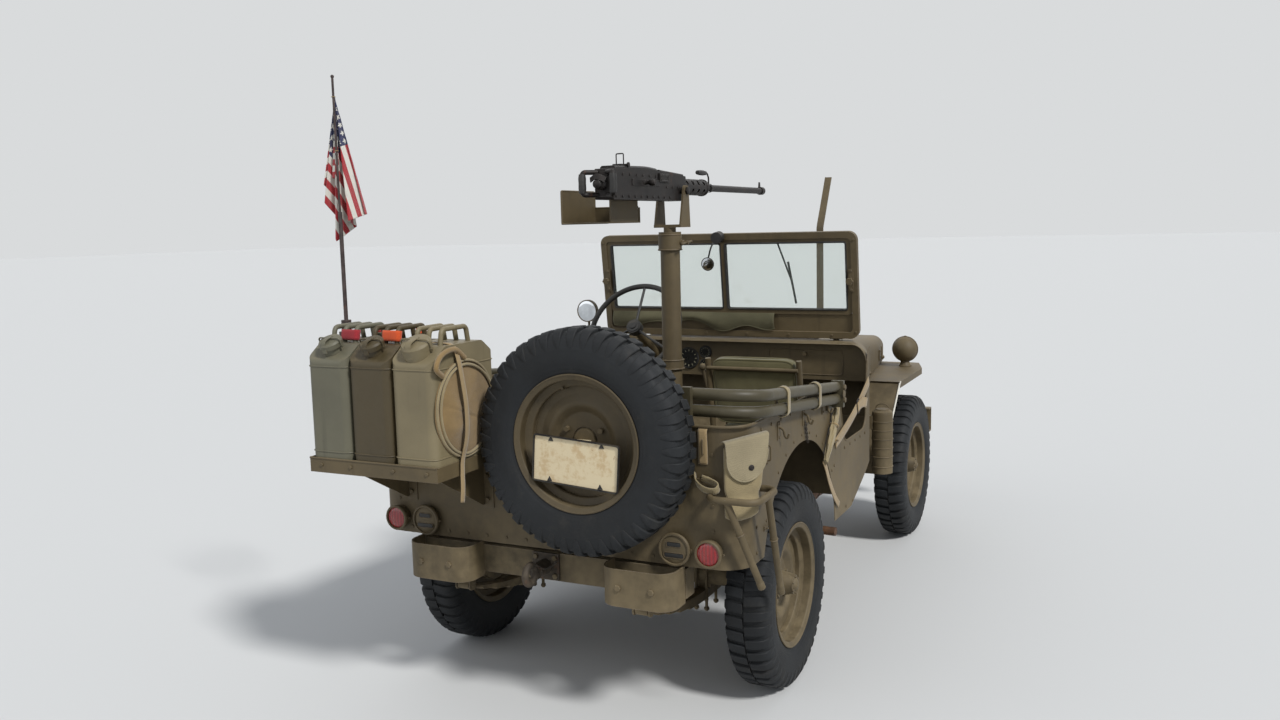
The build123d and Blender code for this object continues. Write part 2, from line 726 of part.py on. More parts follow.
with BuildPart() as tie_rod:
    tie_y = wheelbase + arm_reach
    rod((-kingpin_x, tie_y, arm_top + 16), (kingpin_x, tie_y, arm_top + 16), 11)
    for side in (-1, 1):
        rod((side * kingpin_x, tie_y, arm_top + 0.1), (side * kingpin_x, tie_y, arm_top + 30), 18)
tie_rod.part.label = "tie_rod"
export_step(tie_rod.part, "parts/tie_rod.step")

# Leaf springs: stacked leaves under the axles, eyes, shackles and clamps
leaf_gauge = 7
leaf_half = 22
seat_z = tyre_radius - axle_tube - seat_gap
spring_table = ((0, 530, 78), (wheelbase, 460, 70))
leaf_shares = (1, 0.86, 0.7, 0.54, 0.38)
with BuildPart() as leaf_springs:
    for y, half, rise in spring_table:
        for side in (-1, 1):
            x = side * spring_x
            for layer, share in enumerate(leaf_shares):
                z = seat_z - 0.5 - leaf_gauge * (layer + 0.5)
                lift = rise * share * share
                with BuildSketch(Plane.YZ.offset(x - leaf_half)):
                    with BuildLine():
                        ThreePointArc((rear_axle_y + y - half * share, z + lift), (rear_axle_y + y, z),
                                      (rear_axle_y + y + half * share, z + lift))
                    trace(line_width=leaf_gauge + 0.4)
                extrude(amount=2 * leaf_half)
            for way in (-1, 1):
                eye = (y + way * half, seat_z - leaf_gauge / 2 + rise + 8)
                rod((x - leaf_half, *eye), (x + leaf_half, *eye), 16)
                rod((x - 32, *eye), (x + 32, *eye), 7)
                low = 455 if y + way * half > 400 else 462
                for edge in (-1, 1):
                    plate = sorted((x + edge * 26, x + edge * 31))
                    side_plate([(eye[0] - 18, eye[1] - 18), (eye[0] + 18, eye[1] - 18),
                                (eye[0] + 18, low), (eye[0] - 18, low)], plate, rounding=[14, 14, 0, 0])
leaf_springs.part.label = "leaf_springs"
export_step(leaf_springs.part, "parts/leaf_springs.step")

# Driveshafts
with BuildPart() as driveshafts:
    for start, finish in ((pinion_reach, transfer_span[0]), (wheelbase - pinion_reach, transfer_span[1])):
        way = 8 if finish > start else -8
        rod((diff_x, start, tyre_radius), (diff_x, start + way, tyre_radius), 40)
        rod((diff_x, finish - way, output_z), (diff_x, finish, output_z), 40)
        rod((diff_x, start + 0.6 * way, tyre_radius), (diff_x, finish - 0.6 * way, output_z), 26)
driveshafts.part.label = "driveshafts"
export_step(driveshafts.part, "parts/driveshafts.step")

# Exhaust
with BuildPart() as exhaust:
    bent_rod([(150, 1750, 640), (265, 1750, 640), (265, 1540, 560), (265, 1400, 425), (470, 1180, 425),
              (470, 1060, 490), (470, 940, 490)], 40, 19)
    rod((470, 600, 490), (470, 950, 490), 55)
    bent_rod([(470, 601, 490), (470, 540, 490), (560, 480, 425), (700, 470, 425)], 40, 17)
    rod((470, 700, 540), (470, 700, front_floor), 8)
    rod((470, 850, 540), (470, 850, front_floor), 8)
exhaust.part.label = "exhaust"
export_step(exhaust.part, "parts/exhaust.step")

# Tyres and wheels
tyre_line = [
    (-bead_half_width, 203.1), (-tyre_half_width, 282), (-72, 338), (-52, tyre_radius), (52, tyre_radius),
    (72, 338), (tyre_half_width, 282), (bead_half_width, 203.1), (bead_half_width - tyre_wall, 203.1),
    (tyre_half_width - tyre_wall, 282), (60, 330), (40, 344), (-40, 344), (-60, 330),
    (-tyre_half_width + tyre_wall, 282), (-bead_half_width + tyre_wall, 203.1),
]
tyre_round = [2, 45, 14, 12, 12, 14, 45, 2, 2, 40, 10, 10, 10, 10, 40, 2]


def rim_and_disc(centre, outward):
    """A drop-centre rim with a pressed disc."""
    origin = Plane(origin=at(*centre), x_dir=outward, z_dir=(0, 0, 1))
    with BuildSketch(origin) as rim_section:
        with BuildLine():
            FilletPolyline((-66, 217), (-60.5, 201), (-30, 201), (-22, well_radius), (22, well_radius),
                           (30, 201), (60.5, 201), (66, 217), radius=3)
        trace(line_width=rim_gauge)
    revolve(rim_section.sketch, axis=Axis(at(*centre), outward))
    with BuildSketch(origin) as disc_section:
        with BuildLine():
            FilletPolyline((-5.5, 44), (-5.5, 92), (14, 118), (4, 150), (4, well_radius), radius=[10, 16, 16])
        trace(line_width=5)
    revolve(disc_section.sketch, axis=Axis(at(*centre), outward))


def stud_points(centre, outward, radius, count):
    """Places round an axle at one radius."""
    frame_plane = Plane(origin=at(*centre), z_dir=outward)
    return [frame_plane.from_local_coords((radius * math.cos(a), radius * math.sin(a), 0))
            for a in [2 * math.pi * n / count for n in range(count)]]


corners = (("front_left", -1, wheelbase), ("front_right", 1, wheelbase),
           ("rear_left", -1, 0), ("rear_right", 1, 0))
for name, side, y in corners:
    centre = (side * half_track, y, tyre_radius)
    outward = (side, 0, 0)
    with BuildPart() as tyre:
        turned(centre, outward, tyre_line, rounding=tyre_round)
    tyre.part.label = f"tyre_{name}"
    export_step(tyre.part, f"parts/tyre_{name}.step")
    with BuildPart() as wheel:
        rim_and_disc(centre, outward)
        turned(centre, outward, [(-52, drum_radius - 8), (-52, drum_radius), (-8, drum_radius), (-8, 27),
                                 (-30, 27), (-52, 27), (-52, 40), (-16, 44), (-14, drum_radius - 8)])
        turned(centre, outward, [(-52, spindle_radius + run_gap), (20, spindle_radius + run_gap), (20, 0),
                                 (58, 0), (58, 34), (34, 40), (12, 44), (12, 52), (-8, 52), (-52, 44)])
        for point in stud_points(centre, outward, stud_circle, 5):
            with BuildSketch(Plane(origin=point, z_dir=outward).offset(-4)):
                RegularPolygon(stud_radius, 6)
            extrude(amount=16)
    wheel.part.label = f"wheel_{name}"
    export_step(wheel.part, f"parts/wheel_{name}.step")

# Spare wheel, its carrier and the number plate
spare_centre = (spare_x, spare_y, spare_z)
backward = (0, -1, 0)
with BuildPart() as spare_tyre:
    turned(spare_centre, backward, tyre_line, rounding=tyre_round)
spare_tyre.part.label = "spare_tyre"
export_step(spare_tyre.part, "parts/spare_tyre.step")

with BuildPart() as spare_wheel:
    rim_and_disc(spare_centre, backward)
spare_wheel.part.label = "spare_wheel"
export_step(spare_wheel.part, "parts/spare_wheel.step")

with BuildPart() as spare_carrier:
    turned(spare_centre, backward, [(-82, 0), (-82, 100), (-76, 100), (-70, 60), (-8, 85), (-8, 40),
                                    (4, 36), (4, 0)])
    for point in stud_points(spare_centre, backward, stud_circle, 3):
        with BuildSketch(Plane(origin=point + Vector(0, 3, 0), z_dir=backward)):
            RegularPolygon(stud_radius, 6)
        extrude(amount=14)
    block((80, 340), (-553, -545), (930, 1005))
spare_carrier.part.label = "spare_carrier"
export_step(spare_carrier.part, "parts/spare_carrier.step")

plate_half = 152
plate_height = 152
plate_centre = (210, 908)
plate_tilt = -4
with BuildPart() as number_plate:
    with BuildSketch(Plane.XZ.offset(-(rear_axle_y - 700))):
        with Locations(Location((plate_centre[0], plate_centre[1]), plate_tilt)):
            RectangleRounded(2 * plate_half, plate_height, 10)
    extrude(amount=3)
    block((spare_x - 25, spare_x + 25), (-700, spare_y - 4), (930, 970))
number_plate.part.label = "number_plate"
export_step(number_plate.part, "parts/number_plate.step")

# Can rack with fuel and water cans
rack_right = can_first + 3 * can_width + 2 * (can_pitch - can_width) + 4
rack_left = can_first - 4
with BuildPart() as can_rack:
    block((rack_left, rack_right), (-rear_reach, rear_face - 8), (can_base - 4, can_base))
    for y in ((-rear_reach, -rear_reach + 4), (rear_face - 12, rear_face - 8)):
        block((rack_left, rack_right), y, (can_base - 4, can_base + 42))
    for x in ((rack_left, rack_left + 3), (rack_right - 3, rack_right)):
        block(x, (-rear_reach, rear_face - 8), (can_base - 4, can_base + 42))
    for x in (-560, -240):
        side_plate([(-545, 700), (-560, 700), (-840, can_base - 4), (-545, can_base - 4)], (x, x + 5))
        block((x, x + 40), (-549, -545), (690, can_base - 4))
        block((x, x + 40), (-554, -545), (can_base - 4, can_base + 42))
can_rack.part.label = "can_rack"
export_step(can_rack.part, "parts/can_rack.step")


def can_body(place, caps):
    """A five gallon can: rounded upright edges, shoulders, three handles and its caps.

    Each cap is its place along the can from its rear, its radius and its lean to the rear.
    """
    middle_x = can_first + place * can_pitch + can_width / 2
    rear = -rear_reach + 4.3
    y = (rear, rear + can_depth)
    top = can_base + can_rise
    with BuildPart() as shell:
        with BuildSketch(Plane(origin=at(middle_x, (y[0] + y[1]) / 2, can_base))):
            RectangleRounded(can_width, can_depth, can_round)
        extrude(amount=can_rise)
        side_plate([(y[0], can_base), (y[1], can_base), (y[1], top - 50), (y[1] - 70, top),
                    (y[0] + 70, top), (y[0], top - 50)],
                   (middle_x - can_width / 2 - 1, middle_x + can_width / 2 + 1),
                   rounding=[6, 6, 20, 20, 20, 20], mode=Mode.INTERSECT)
    add(shell.part)
    for part in (-0.28, 0, 0.28):
        x = middle_x + part * can_width
        bent_rod([(x, y[0] + 95, top - 3), (x, y[0] + 105, top + 48),
                  (x, y[1] - 105, top + 48), (x, y[1] - 95, top - 3)], 18, 8)
    for along, radius, lean in caps:
        rise = 8 if lean else 10
        low = (middle_x, rear + along + 12 * lean, top - 62 * abs(lean) - 24 * (lean == 0))
        rod(low, (middle_x, rear + along - 24 * lean, top + rise), radius)


rear_cap = (46, 30, 0.75)
far_cap = (can_depth - 62, 24, 0)
with BuildPart() as fuel_cans:
    can_body(0, (rear_cap, far_cap))
    can_body(1, (rear_cap, far_cap))
fuel_cans.part.label = "fuel_cans"
export_step(fuel_cans.part, "parts/fuel_cans.step")

with BuildPart() as water_can:
    can_body(2, ((48, 46, 0.75),))
water_can.part.label = "water_can"
export_step(water_can.part, "parts/water_can.step")

bucket_radius = 158
bucket_place = (-738, 1068)
with BuildPart() as canvas_bucket:
    rod((rack_right - 4 + soft_gap, *bucket_place), (rack_right + 8, *bucket_place), bucket_radius)
    rod((rack_right + 7, -815, 1040), (rack_right + 26, -815, 1040), 84)
canvas_bucket.part.label = "canvas_bucket"
export_step(canvas_bucket.part, "parts/canvas_bucket.step")

# Antenna on the rear left corner, with its flag
mast_x = -716
mast_y = -640
with BuildPart() as antenna:
    block((mast_x - 12, -body_half), (mast_y - 20, -400), (950, 1000))
    rod((mast_x, mast_y, 990), (mast_x, mast_y, 1200), 16)
    rod((mast_x, mast_y, 1200), (mast_x, mast_y, 1290), 26)
    rod((mast_x, mast_y, 1290), (mast_x, mast_y, 1330), 17)
    rod((mast_x, mast_y, 1330), (mast_x, mast_y, 1700), 7)
    rod((mast_x, mast_y, 1700), (mast_x, mast_y, 2150), 4)
    with Locations(at(mast_x, mast_y, 2151)):
        Sphere(6)
antenna.part.label = "antenna"
export_step(antenna.part, "parts/antenna.step")

flag_top = 2090
flag_drop = 480
with BuildPart() as flag:
    block((mast_x - 85, mast_x + 62), (mast_y + 7 + soft_gap, mast_y + 30), (flag_top - flag_drop, flag_top))
flag.part.label = "flag"
export_step(flag.part, "parts/flag.step")

# Folded top bows: two bent tubes round the back of the tub, with brackets
bow_half = 728
bow_tube = 19
bow_bore = 16.5
bow_back = -505
with BuildPart() as top_bows:
    for low, high in ((1010, 1110), (965, 1058)):
        bent_rod([(-bow_half, 395, low), (-bow_half, bow_back, high), (bow_half, bow_back, high),
                  (bow_half, 395, low)], 110, bow_tube, bow_bore)
    for side in (-1, 1):
        block(sorted((side * 710, side * 756)), (375, 395), (935, 1035))
        block(sorted((side * body_half, side * 712)), (340, 430), (925, 1005))
        block(sorted((side * 500, side * 530)), (rear_face + sheet, bow_back - bow_tube + 1), (980, 1135))
top_bows.part.label = "top_bows"
export_step(top_bows.part, "parts/top_bows.step")

# Pedestal with its base plate and legs
socket_depth = 110
with BuildPart() as pedestal:
    block((-110, 110), (floor_step + 5, 640), (front_floor + sheet, front_floor + sheet + 10))
    rod((0, post_y, front_floor + sheet), (0, post_y, post_top), post_radius)
    rod((0, post_y, 1040), (0, post_y, 1075), post_radius + 8)
    rod((0, post_y, post_top - 60), (0, post_y, post_top), post_radius + 8)
    for y, floor in ((760, front_floor + sheet), (250, rear_floor + sheet)):
        rod((0, post_y, 1050), (0, y, floor + 8), 14)
        block((-30, 30), (y - 25, y + 25), (floor, floor + 8))
    for side in (-1, 1):
        rod((0, post_y, 1050), (side * 90, 475, front_floor + sheet + 6), 14)
    rod((0, post_y, post_top - socket_depth), (0, post_y, post_top + 1), pin_radius + run_gap,
        mode=Mode.SUBTRACT)
pedestal.part.label = "pedestal"
export_step(pedestal.part, "parts/pedestal.step")

with BuildPart() as gun_cradle:
    rod((0, post_y, post_top - socket_depth + 5), (0, post_y, post_top + 35), pin_radius)
    rod((0, post_y, post_top + 1), (0, post_y, post_top + 12), 46)
    block((-60, 60), (post_y - 25, trunnion_y + 35), (post_top + 30, post_top + 42))
    for side in (-1, 1):
        side_plate([(post_y - 25, post_top + 32), (trunnion_y + 35, post_top + 32),
                    (trunnion_y + 22, trunnion_z + 22), (trunnion_y - 22, trunnion_z + 22)],
                   sorted((side * 52, side * 60)), rounding=[0, 0, 18, 18])
        rod((side * 50, trunnion_y, trunnion_z), (side * 62, trunnion_y, trunnion_z), 12 + run_gap,
            mode=Mode.SUBTRACT)
gun_cradle.part.label = "gun_cradle"
export_step(gun_cradle.part, "parts/gun_cradle.step")

# Display armament: a solid outline with no bore and no mechanism
barrel_z = 1785
with BuildPart() as display_gun:
    side_plate([(-60, 1725), (590, 1725), (590, 1825), (240, 1842), (-60, 1836)], (-38, 38), rounding=6)
    rod((-62, trunnion_y, trunnion_z), (62, trunnion_y, trunnion_z), 12)
    rod((0, 588, barrel_z), (0, 850, barrel_z), 34)
    for turn in range(6):
        angle = math.radians(60 * turn + 30)
        for step in range(4):
            y = 625 + 60 * step
            rod((20 * math.cos(angle), y, barrel_z + 20 * math.sin(angle)),
                (40 * math.cos(angle), y, barrel_z + 40 * math.sin(angle)), 11, mode=Mode.SUBTRACT)
    rod((0, 849, barrel_z), (0, 1600, barrel_z), 15)
    rod((0, 1599, barrel_z), (0, 1630, barrel_z), 19)
    block((-30, 30), (-75, -59), (1735, 1825))
    for side in (-1, 1):
        bent_rod([(side * 20, -74, 1822), (side * 62, -110, 1822), (side * 62, -110, 1742),
                  (side * 20, -74, 1742)], 12, 9)
display_gun.part.label = "display_gun"
export_step(display_gun.part, "parts/display_gun.step")

tray_run = (40, 310)
with BuildPart() as ammo_tray:
    block((-240, -38), tray_run, (1640, 1644))
    block((-240, -236), tray_run, (1640, 1765))
    block((-240, -38), (tray_run[1] - 4, tray_run[1]), (1640, 1700))
    block((-44, -38), (60, 290), (1640, 1760))
ammo_tray.part.label = "ammo_tray"
export_step(ammo_tray.part, "parts/ammo_tray.step")

# Rear lamps
with BuildPart() as rear_lamps:
    for side in (-1, 1):
        for x, radius, depth in ((594, 45, 38), (476, 54, 26)):
            rod((side * x, rear_face, 625), (side * x, rear_face - depth, 625), radius)
rear_lamps.part.label = "rear_lamps"
export_step(rear_lamps.part, "parts/rear_lamps.step")

# Corner handles round the rear corners
with BuildPart() as corner_handles:
    for side in (-1, 1):
        bent_rod([(side * 600, rear_face, 805), (side * 600, -600, 805), (side * 762, -600, 805),
                  (side * 762, -410, 805), (side * body_half, -410, 805)], 40, 11)
    rod((662, -600, 812), (748, -520, 520), 11)
    rod((762, -500, 812), (752, -350, 450), 11)
corner_handles.part.label = "corner_handles"
export_step(corner_handles.part, "parts/corner_handles.step")

# Canvas bag against the right rear corner, square to the corner's diagonal
bag_rest = corner_round + soft_gap
corner_centre = (body_half - corner_round, rear_face + corner_round)
outward = Vector(1, -1, 0).normalized()
with BuildPart() as side_bag:
    with BuildSketch(Plane(origin=Vector(*at(*corner_centre, 0)) + outward * bag_rest, x_dir=(1, 1, 0),
                           z_dir=outward)):
        with BuildLine():
            FilletPolyline((-62, 745), (40, 725), (74, 860), (70, 985), (-74, 950), radius=18, close=True)
        make_face()
    extrude(amount=34)
side_bag.part.label = "side_bag"
export_step(side_bag.part, "parts/side_bag.step")

# Ribbed canister and its bracket on the right cowl side
with BuildPart() as side_canister:
    rod((705, 1215, 500), (705, 1215, 770), 46)
    rod((705, 1215, 770), (705, 1215, 790), 28)
    block((640, 670), (cowl_front, 1215), (700, 760))
side_canister.part.label = "side_canister"
export_step(side_canister.part, "parts/side_canister.step")

# Mirror on the left
mirror_point = (-760, 1166, 1213)
with BuildPart() as mirror:
    bent_rod([(-668.5, 1120, 1000), (-720, 1120, 1000), (-760, 1186, 1140), (-760, 1186, 1213)], 20, 6)
    rod((-760, 1186, 1213), (-760, 1166, 1213), 55)
mirror.part.label = "mirror"
export_step(mirror.part, "parts/mirror.step")

# Shovel and axe on the left side
with BuildPart() as pioneer_tools:
    rod((-724, 500, 650), (-724, 1000, 650), 16)
    side_plate([(980, 630), (1010, 570), (1200, 575), (1240, 650), (1200, 725), (1010, 730), (980, 670)],
               (-722, -716), rounding=20)
    rod((-724, 480, 550), (-724, 1000, 560), 15)
    side_plate([(960, 540), (1040, 520), (1040, 560), (960, 575)], (-730, -704), rounding=5)
    for y in (560, 820):
        block((-712, -700), (y, y + 20), (520, 690))
        block((-740, -700), (y, y + 20), (530, 534))
pioneer_tools.part.label = "pioneer_tools"
export_step(pioneer_tools.part, "parts/pioneer_tools.step")

# Webbing straps across the door openings
with BuildPart() as door_straps:
    for side in (-1, 1):
        side_strip([(455, 775), (975, 950)], sorted((side * 700.3, side * 703.3)), 44)
door_straps.part.label = "door_straps"
export_step(door_straps.part, "parts/door_straps.step")
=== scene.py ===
import math

import bmesh
import bpy
import numpy as np
from mathutils import Matrix, Vector


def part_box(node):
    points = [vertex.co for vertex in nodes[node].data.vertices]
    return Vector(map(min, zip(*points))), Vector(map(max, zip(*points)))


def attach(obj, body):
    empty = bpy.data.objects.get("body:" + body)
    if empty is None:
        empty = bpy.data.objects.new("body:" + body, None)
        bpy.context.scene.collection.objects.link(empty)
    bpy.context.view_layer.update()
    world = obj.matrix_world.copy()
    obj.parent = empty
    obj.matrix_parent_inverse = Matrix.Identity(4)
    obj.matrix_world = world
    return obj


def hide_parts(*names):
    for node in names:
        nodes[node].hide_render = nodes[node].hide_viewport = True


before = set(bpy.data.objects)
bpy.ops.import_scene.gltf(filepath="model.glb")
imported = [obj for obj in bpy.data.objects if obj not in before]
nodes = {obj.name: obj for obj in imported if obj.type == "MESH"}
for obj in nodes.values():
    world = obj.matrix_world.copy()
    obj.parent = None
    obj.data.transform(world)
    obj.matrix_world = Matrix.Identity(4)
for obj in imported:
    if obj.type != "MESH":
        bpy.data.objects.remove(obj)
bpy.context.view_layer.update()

# Driving places, read from the frame. Metres: +Y forward, +X the vehicle's right, +Z up.
# Lengths along the vehicle are given ahead of the rear axle, as on its drawing.


def middle(node):
    """The centre of a node's box."""
    low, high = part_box(node)
    return np.array((low + high) / 2)


axle_y = middle("tyre_rear_left")[1]
tyre_radius = middle("tyre_rear_left")[2]
half_track = middle("tyre_rear_right")[0]
front_y = middle("tyre_front_left")[1]


def at(x, y, z):
    """A place given across, ahead of the rear axle and above the ground."""
    return np.array((x, axle_y + y, z), float)


def course(*places):
    """Several places, each given as for at()."""
    return np.array([at(*place) for place in places])


def spread(xs, ys, zs):
    """Every place that has one of the given numbers in each direction, as for at()."""
    return [at(x, y, z) for x in np.atleast_1d(xs) for y in np.atleast_1d(ys) for z in np.atleast_1d(zs)]


RIGHT, LEFT = (1, 0, 0), (-1, 0, 0)
AHEAD, BACK = (0, 1, 0), (0, -1, 0)
UP, DOWN = (0, 0, 1), (0, 0, -1)

# Shapes are pairs of arrays: points and four-cornered faces


def surface(points, wrap_rows=False, wrap_columns=False):
    """Joins each point of a grid to the next along its rows and its columns."""
    rows, columns = points.shape[:2]
    i, j = np.meshgrid(np.arange(rows - 1 + wrap_rows), np.arange(columns - 1 + wrap_columns), indexing="ij")
    i_next, j_next = (i + 1) % rows, (j + 1) % columns
    faces = np.stack([i * columns + j, i * columns + j_next, i_next * columns + j_next, i_next * columns + j], -1)
    return points.reshape(-1, 3), faces.reshape(-1, 4)


def joined(*shapes):
    """Several shapes as one."""
    starts = np.cumsum([0] + [len(points) for points, _ in shapes[:-1]])
    return (np.concatenate([points for points, _ in shapes]),
            np.concatenate([faces + start for (_, faces), start in zip(shapes, starts)]))


def repeated(shape, turns, places):
    """Copies of a shape, each turned by its own matrix and then moved."""
    points, faces = shape
    places = np.asarray(places, float)
    turns = np.broadcast_to(turns, (len(places), 3, 3))
    copies = np.einsum("kij,nj->kni", turns, points) + places[:, None]
    starts = np.arange(len(places)) * len(points)
    return copies.reshape(-1, 3), (faces[None] + starts[:, None, None]).reshape(-1, 4)


def moved(shape, turn, place):
    """One shape turned and moved."""
    return shape[0] @ np.asarray(turn).T + place, shape[1]


def both_sides(*shapes):
    """Several shapes as one, with their mirror image across the vehicle."""
    points, faces = joined(*shapes)
    return joined((points, faces), (points * (-1, 1, 1), faces[:, ::-1]))


def unit(v):
    """A vector, or rows of vectors, at length one."""
    v = np.asarray(v, float)
    return v / np.maximum(np.linalg.norm(v, axis=-1, keepdims=True), 1e-12)


def standing(axis, side=UP):
    """A matrix whose third column is the axis and whose first lies near side."""
    axis = unit(axis)
    side = np.asarray(side, float)
    if abs(axis @ side) > 0.95:
        side = np.array((0.0, 1.0, 0.0))
    first = unit(side - axis * (side @ axis))
    return np.stack([first, np.cross(axis, first), axis], 1)


def spin(axis, angles):
    """Matrices that turn by each angle about one axis."""
    x, y, z = unit(axis)
    cross = np.array(((0, -z, y), (z, 0, -x), (-y, x, 0)))
    angles = np.atleast_1d(angles)[:, None, None]
    return np.eye(3) + np.sin(angles) * cross + (1 - np.cos(angles)) * (cross @ cross)


def around(count):
    """Angles evenly spaced round a circle."""
    return np.linspace(0, math.tau, count, endpoint=False)


def clock(centre, right, up, radius, angles):
    """Places round a centre, at angles that grow from right toward up."""
    angles = np.asarray(angles)[:, None]
    return centre + radius * (np.cos(angles) * np.array(right) + np.sin(angles) * np.array(up))


def turned(profile, centre, axis, steps=32, closed=False):
    """A profile of (radius, distance along) pairs turned round an axis."""
    profile = np.asarray(profile, float)
    base = standing(axis)
    arrows = clock(0, base[:, 0], base[:, 1], 1, around(steps))
    points = centre + profile[:, :1, None] * arrows + profile[:, 1:, None] * base[:, 2]
    return surface(points, wrap_rows=closed, wrap_columns=True)


def smooth(points, steps=8):
    """A path through the points whose slope at each is half the step between its neighbours."""
    p = np.asarray(points, float)
    slope = np.gradient(p, axis=0)
    t = np.linspace(0, 1, steps, endpoint=False)[:, None]
    parts = [(2 * t**3 - 3 * t**2 + 1) * a + (t**3 - 2 * t**2 + t) * sa + (3 * t**2 - 2 * t**3) * b
             + (t**3 - t**2) * sb for a, b, sa, sb in zip(p[:-1], p[1:], slope[:-1], slope[1:])]
    return np.concatenate(parts + [p[-1:]])


def bent(corners, radius, closed=False, steps=5):
    """Straight runs whose corners give way to parabolas that start a radius before them."""
    p = np.asarray(corners, float)
    before, after = np.roll(p, 1, 0), np.roll(p, -1, 0)
    start, finish = p + radius * unit(before - p), p + radius * unit(after - p)
    t = np.linspace(0, 1, steps + 1)[None, :, None]
    curve = (1 - t) ** 2 * start[:, None] + 2 * t * (1 - t) * p[:, None] + t**2 * finish[:, None]
    if closed:
        return curve.reshape(-1, 3)
    return np.concatenate([p[:1], curve[1:-1].reshape(-1, 3), p[-1:]])


def round_box(centre, across, up, half, radius, steps=5):
    """A closed rounded rectangle about a centre, in the plane of two arrows."""
    corners = [np.asarray(centre) + a * half[0] * np.asarray(across) + b * half[1] * np.asarray(up)
               for a, b in ((-1, -1), (1, -1), (1, 1), (-1, 1))]
    return bent(corners, radius, closed=True, steps=steps)


def path_frame(path, across=None):
    """Along, side and up arrows at each point of a path."""
    way = unit(np.gradient(path, axis=0))
    if across is None:
        across = np.linalg.svd(way, full_matrices=True)[2][-1]
    across = np.broadcast_to(np.asarray(across, float), path.shape)
    side = unit(across - way * np.sum(across * way, -1, keepdims=True))
    return way, side, np.cross(way, side)


def carried(outline, path, scale=1.0, across=None, loop=False):
    """A closed outline of (side, up) points carried along a path, drawn to a point at its ends or looped."""
    path = np.asarray(path, float)
    way, side, up = path_frame(path, across)
    scale = np.broadcast_to(scale, len(path)).astype(float)
    if loop:
        way = unit(np.roll(path, -1, 0) - np.roll(path, 1, 0))
        side = unit(side - way * np.sum(side * way, -1, keepdims=True))
        up = np.cross(way, side)
    else:
        path, side, up = (np.concatenate([a[:1], a, a[-1:]]) for a in (path, side, up))
        scale = np.concatenate([[0], scale, [0]])
    outline = np.asarray(outline, float)
    points = path[:, None] + scale[:, None, None] * (outline[None, :, :1] * side[:, None]
                                                     + outline[None, :, 1:] * up[:, None])
    return surface(points, wrap_rows=loop, wrap_columns=True)


def circle(radius, sides=10):
    """A round outline."""
    return radius * np.stack([np.cos(around(sides)), np.sin(around(sides))], -1)


def flat_section(width, gauge):
    """A strap's outline, thin at its edges."""
    w, g = width / 2, gauge / 2
    return [(-w, -g / 2), (-w * 0.96, -g), (w * 0.96, -g), (w, -g / 2), (w, g / 2), (w * 0.96, g),
            (-w * 0.96, g), (-w, g / 2)]


def tube(path, radius, sides=10, **more):
    """A round bar along a path."""
    return carried(circle(radius, sides), path, **more)


def rod(start, finish, radius, sides=12):
    """A straight round bar."""
    return tube(np.linspace(start, finish, 2), radius, sides)


def ring(centre, axis, radius, gauge, steps=40):
    """A round wire ring."""
    return turned(circle(gauge, 8) + (radius, 0), np.asarray(centre), axis, steps=steps, closed=True)


def powered(value, power):
    """A power that keeps its sign."""
    return np.sign(value) * np.abs(value) ** power


def stuffed(half, edge=(0.32, 0.22), crown=0.1, steps=(28, 56)):
    """A box pad: powers of sine and cosine below one square off a sphere, and the top is crowned."""
    tilt = np.linspace(-np.pi / 2, np.pi / 2, steps[0])[:, None]
    turn = np.linspace(-np.pi, np.pi, steps[1], endpoint=False)[None]
    x = powered(np.cos(tilt), edge[0]) * powered(np.cos(turn), edge[1])
    y = powered(np.cos(tilt), edge[0]) * powered(np.sin(turn), edge[1])
    z = powered(np.sin(tilt), edge[0]) * np.ones_like(turn)
    lift = 1 + crown * (1 - x**2) * (1 - y**2)
    pull = 1 - 0.03 * (np.cos(x * np.pi / 2) * (np.abs(y) > 0.6) + np.cos(y * np.pi / 2) * (np.abs(x) > 0.6))
    points = np.stack([x * pull * half[0], y * pull * half[1], z * lift * half[2]], -1)
    return surface(points, wrap_columns=True)


def hex_head(radius, height):
    """A bolt head with its corners taken off."""
    return turned([(radius, 0), (radius, height * 0.75), (radius * 0.82, height), (0, height)],
                  (0, 0, 0), UP, steps=6)


def heads(places, axis, radius, height):
    """Bolt heads at several places, all facing one way."""
    return repeated(hex_head(radius, height), standing(axis), places)


def piece(name, shape, body, finish, slot, replaces=(), uv=None, bevel=0.0, crease=35, doubles=True, thick=0.0):
    """Makes a shape into a named mesh with its finish, and lets it ride on its body."""
    points, faces = shape
    mesh = bpy.data.meshes.new(name)
    mesh.from_pydata(points.tolist(), [], faces.tolist())
    if uv is not None:
        layer = mesh.uv_layers.new(name="cloth")
        corners = np.empty(len(mesh.loops), int)
        mesh.loops.foreach_get("vertex_index", corners)
        layer.data.foreach_set("uv", np.asarray(uv, float).reshape(-1, 2)[corners].ravel())
    if doubles:
        shell = bmesh.new()
        shell.from_mesh(mesh)
        bmesh.ops.remove_doubles(shell, verts=shell.verts, dist=1e-6)
        bmesh.ops.dissolve_degenerate(shell, edges=shell.edges, dist=1e-7)
        bmesh.ops.recalc_face_normals(shell, faces=shell.faces)
        shell.to_mesh(mesh)
        shell.free()
    mesh.shade_smooth()
    mesh.set_sharp_from_angle(angle=math.radians(crease))
    made = bpy.data.objects.new(name, mesh)
    bpy.context.scene.collection.objects.link(made)
    mesh.materials.append(finish)
    if thick:
        wall = made.modifiers.new("cloth thickness", "SOLIDIFY")
        wall.thickness, wall.offset = thick, 0
    if bevel:
        soft = made.modifiers.new("eased edges", "BEVEL")
        soft.width, soft.segments, soft.limit_method = bevel, 2, "ANGLE"
    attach(made, body)
    if replaces:
        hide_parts(*replaces)
    return made


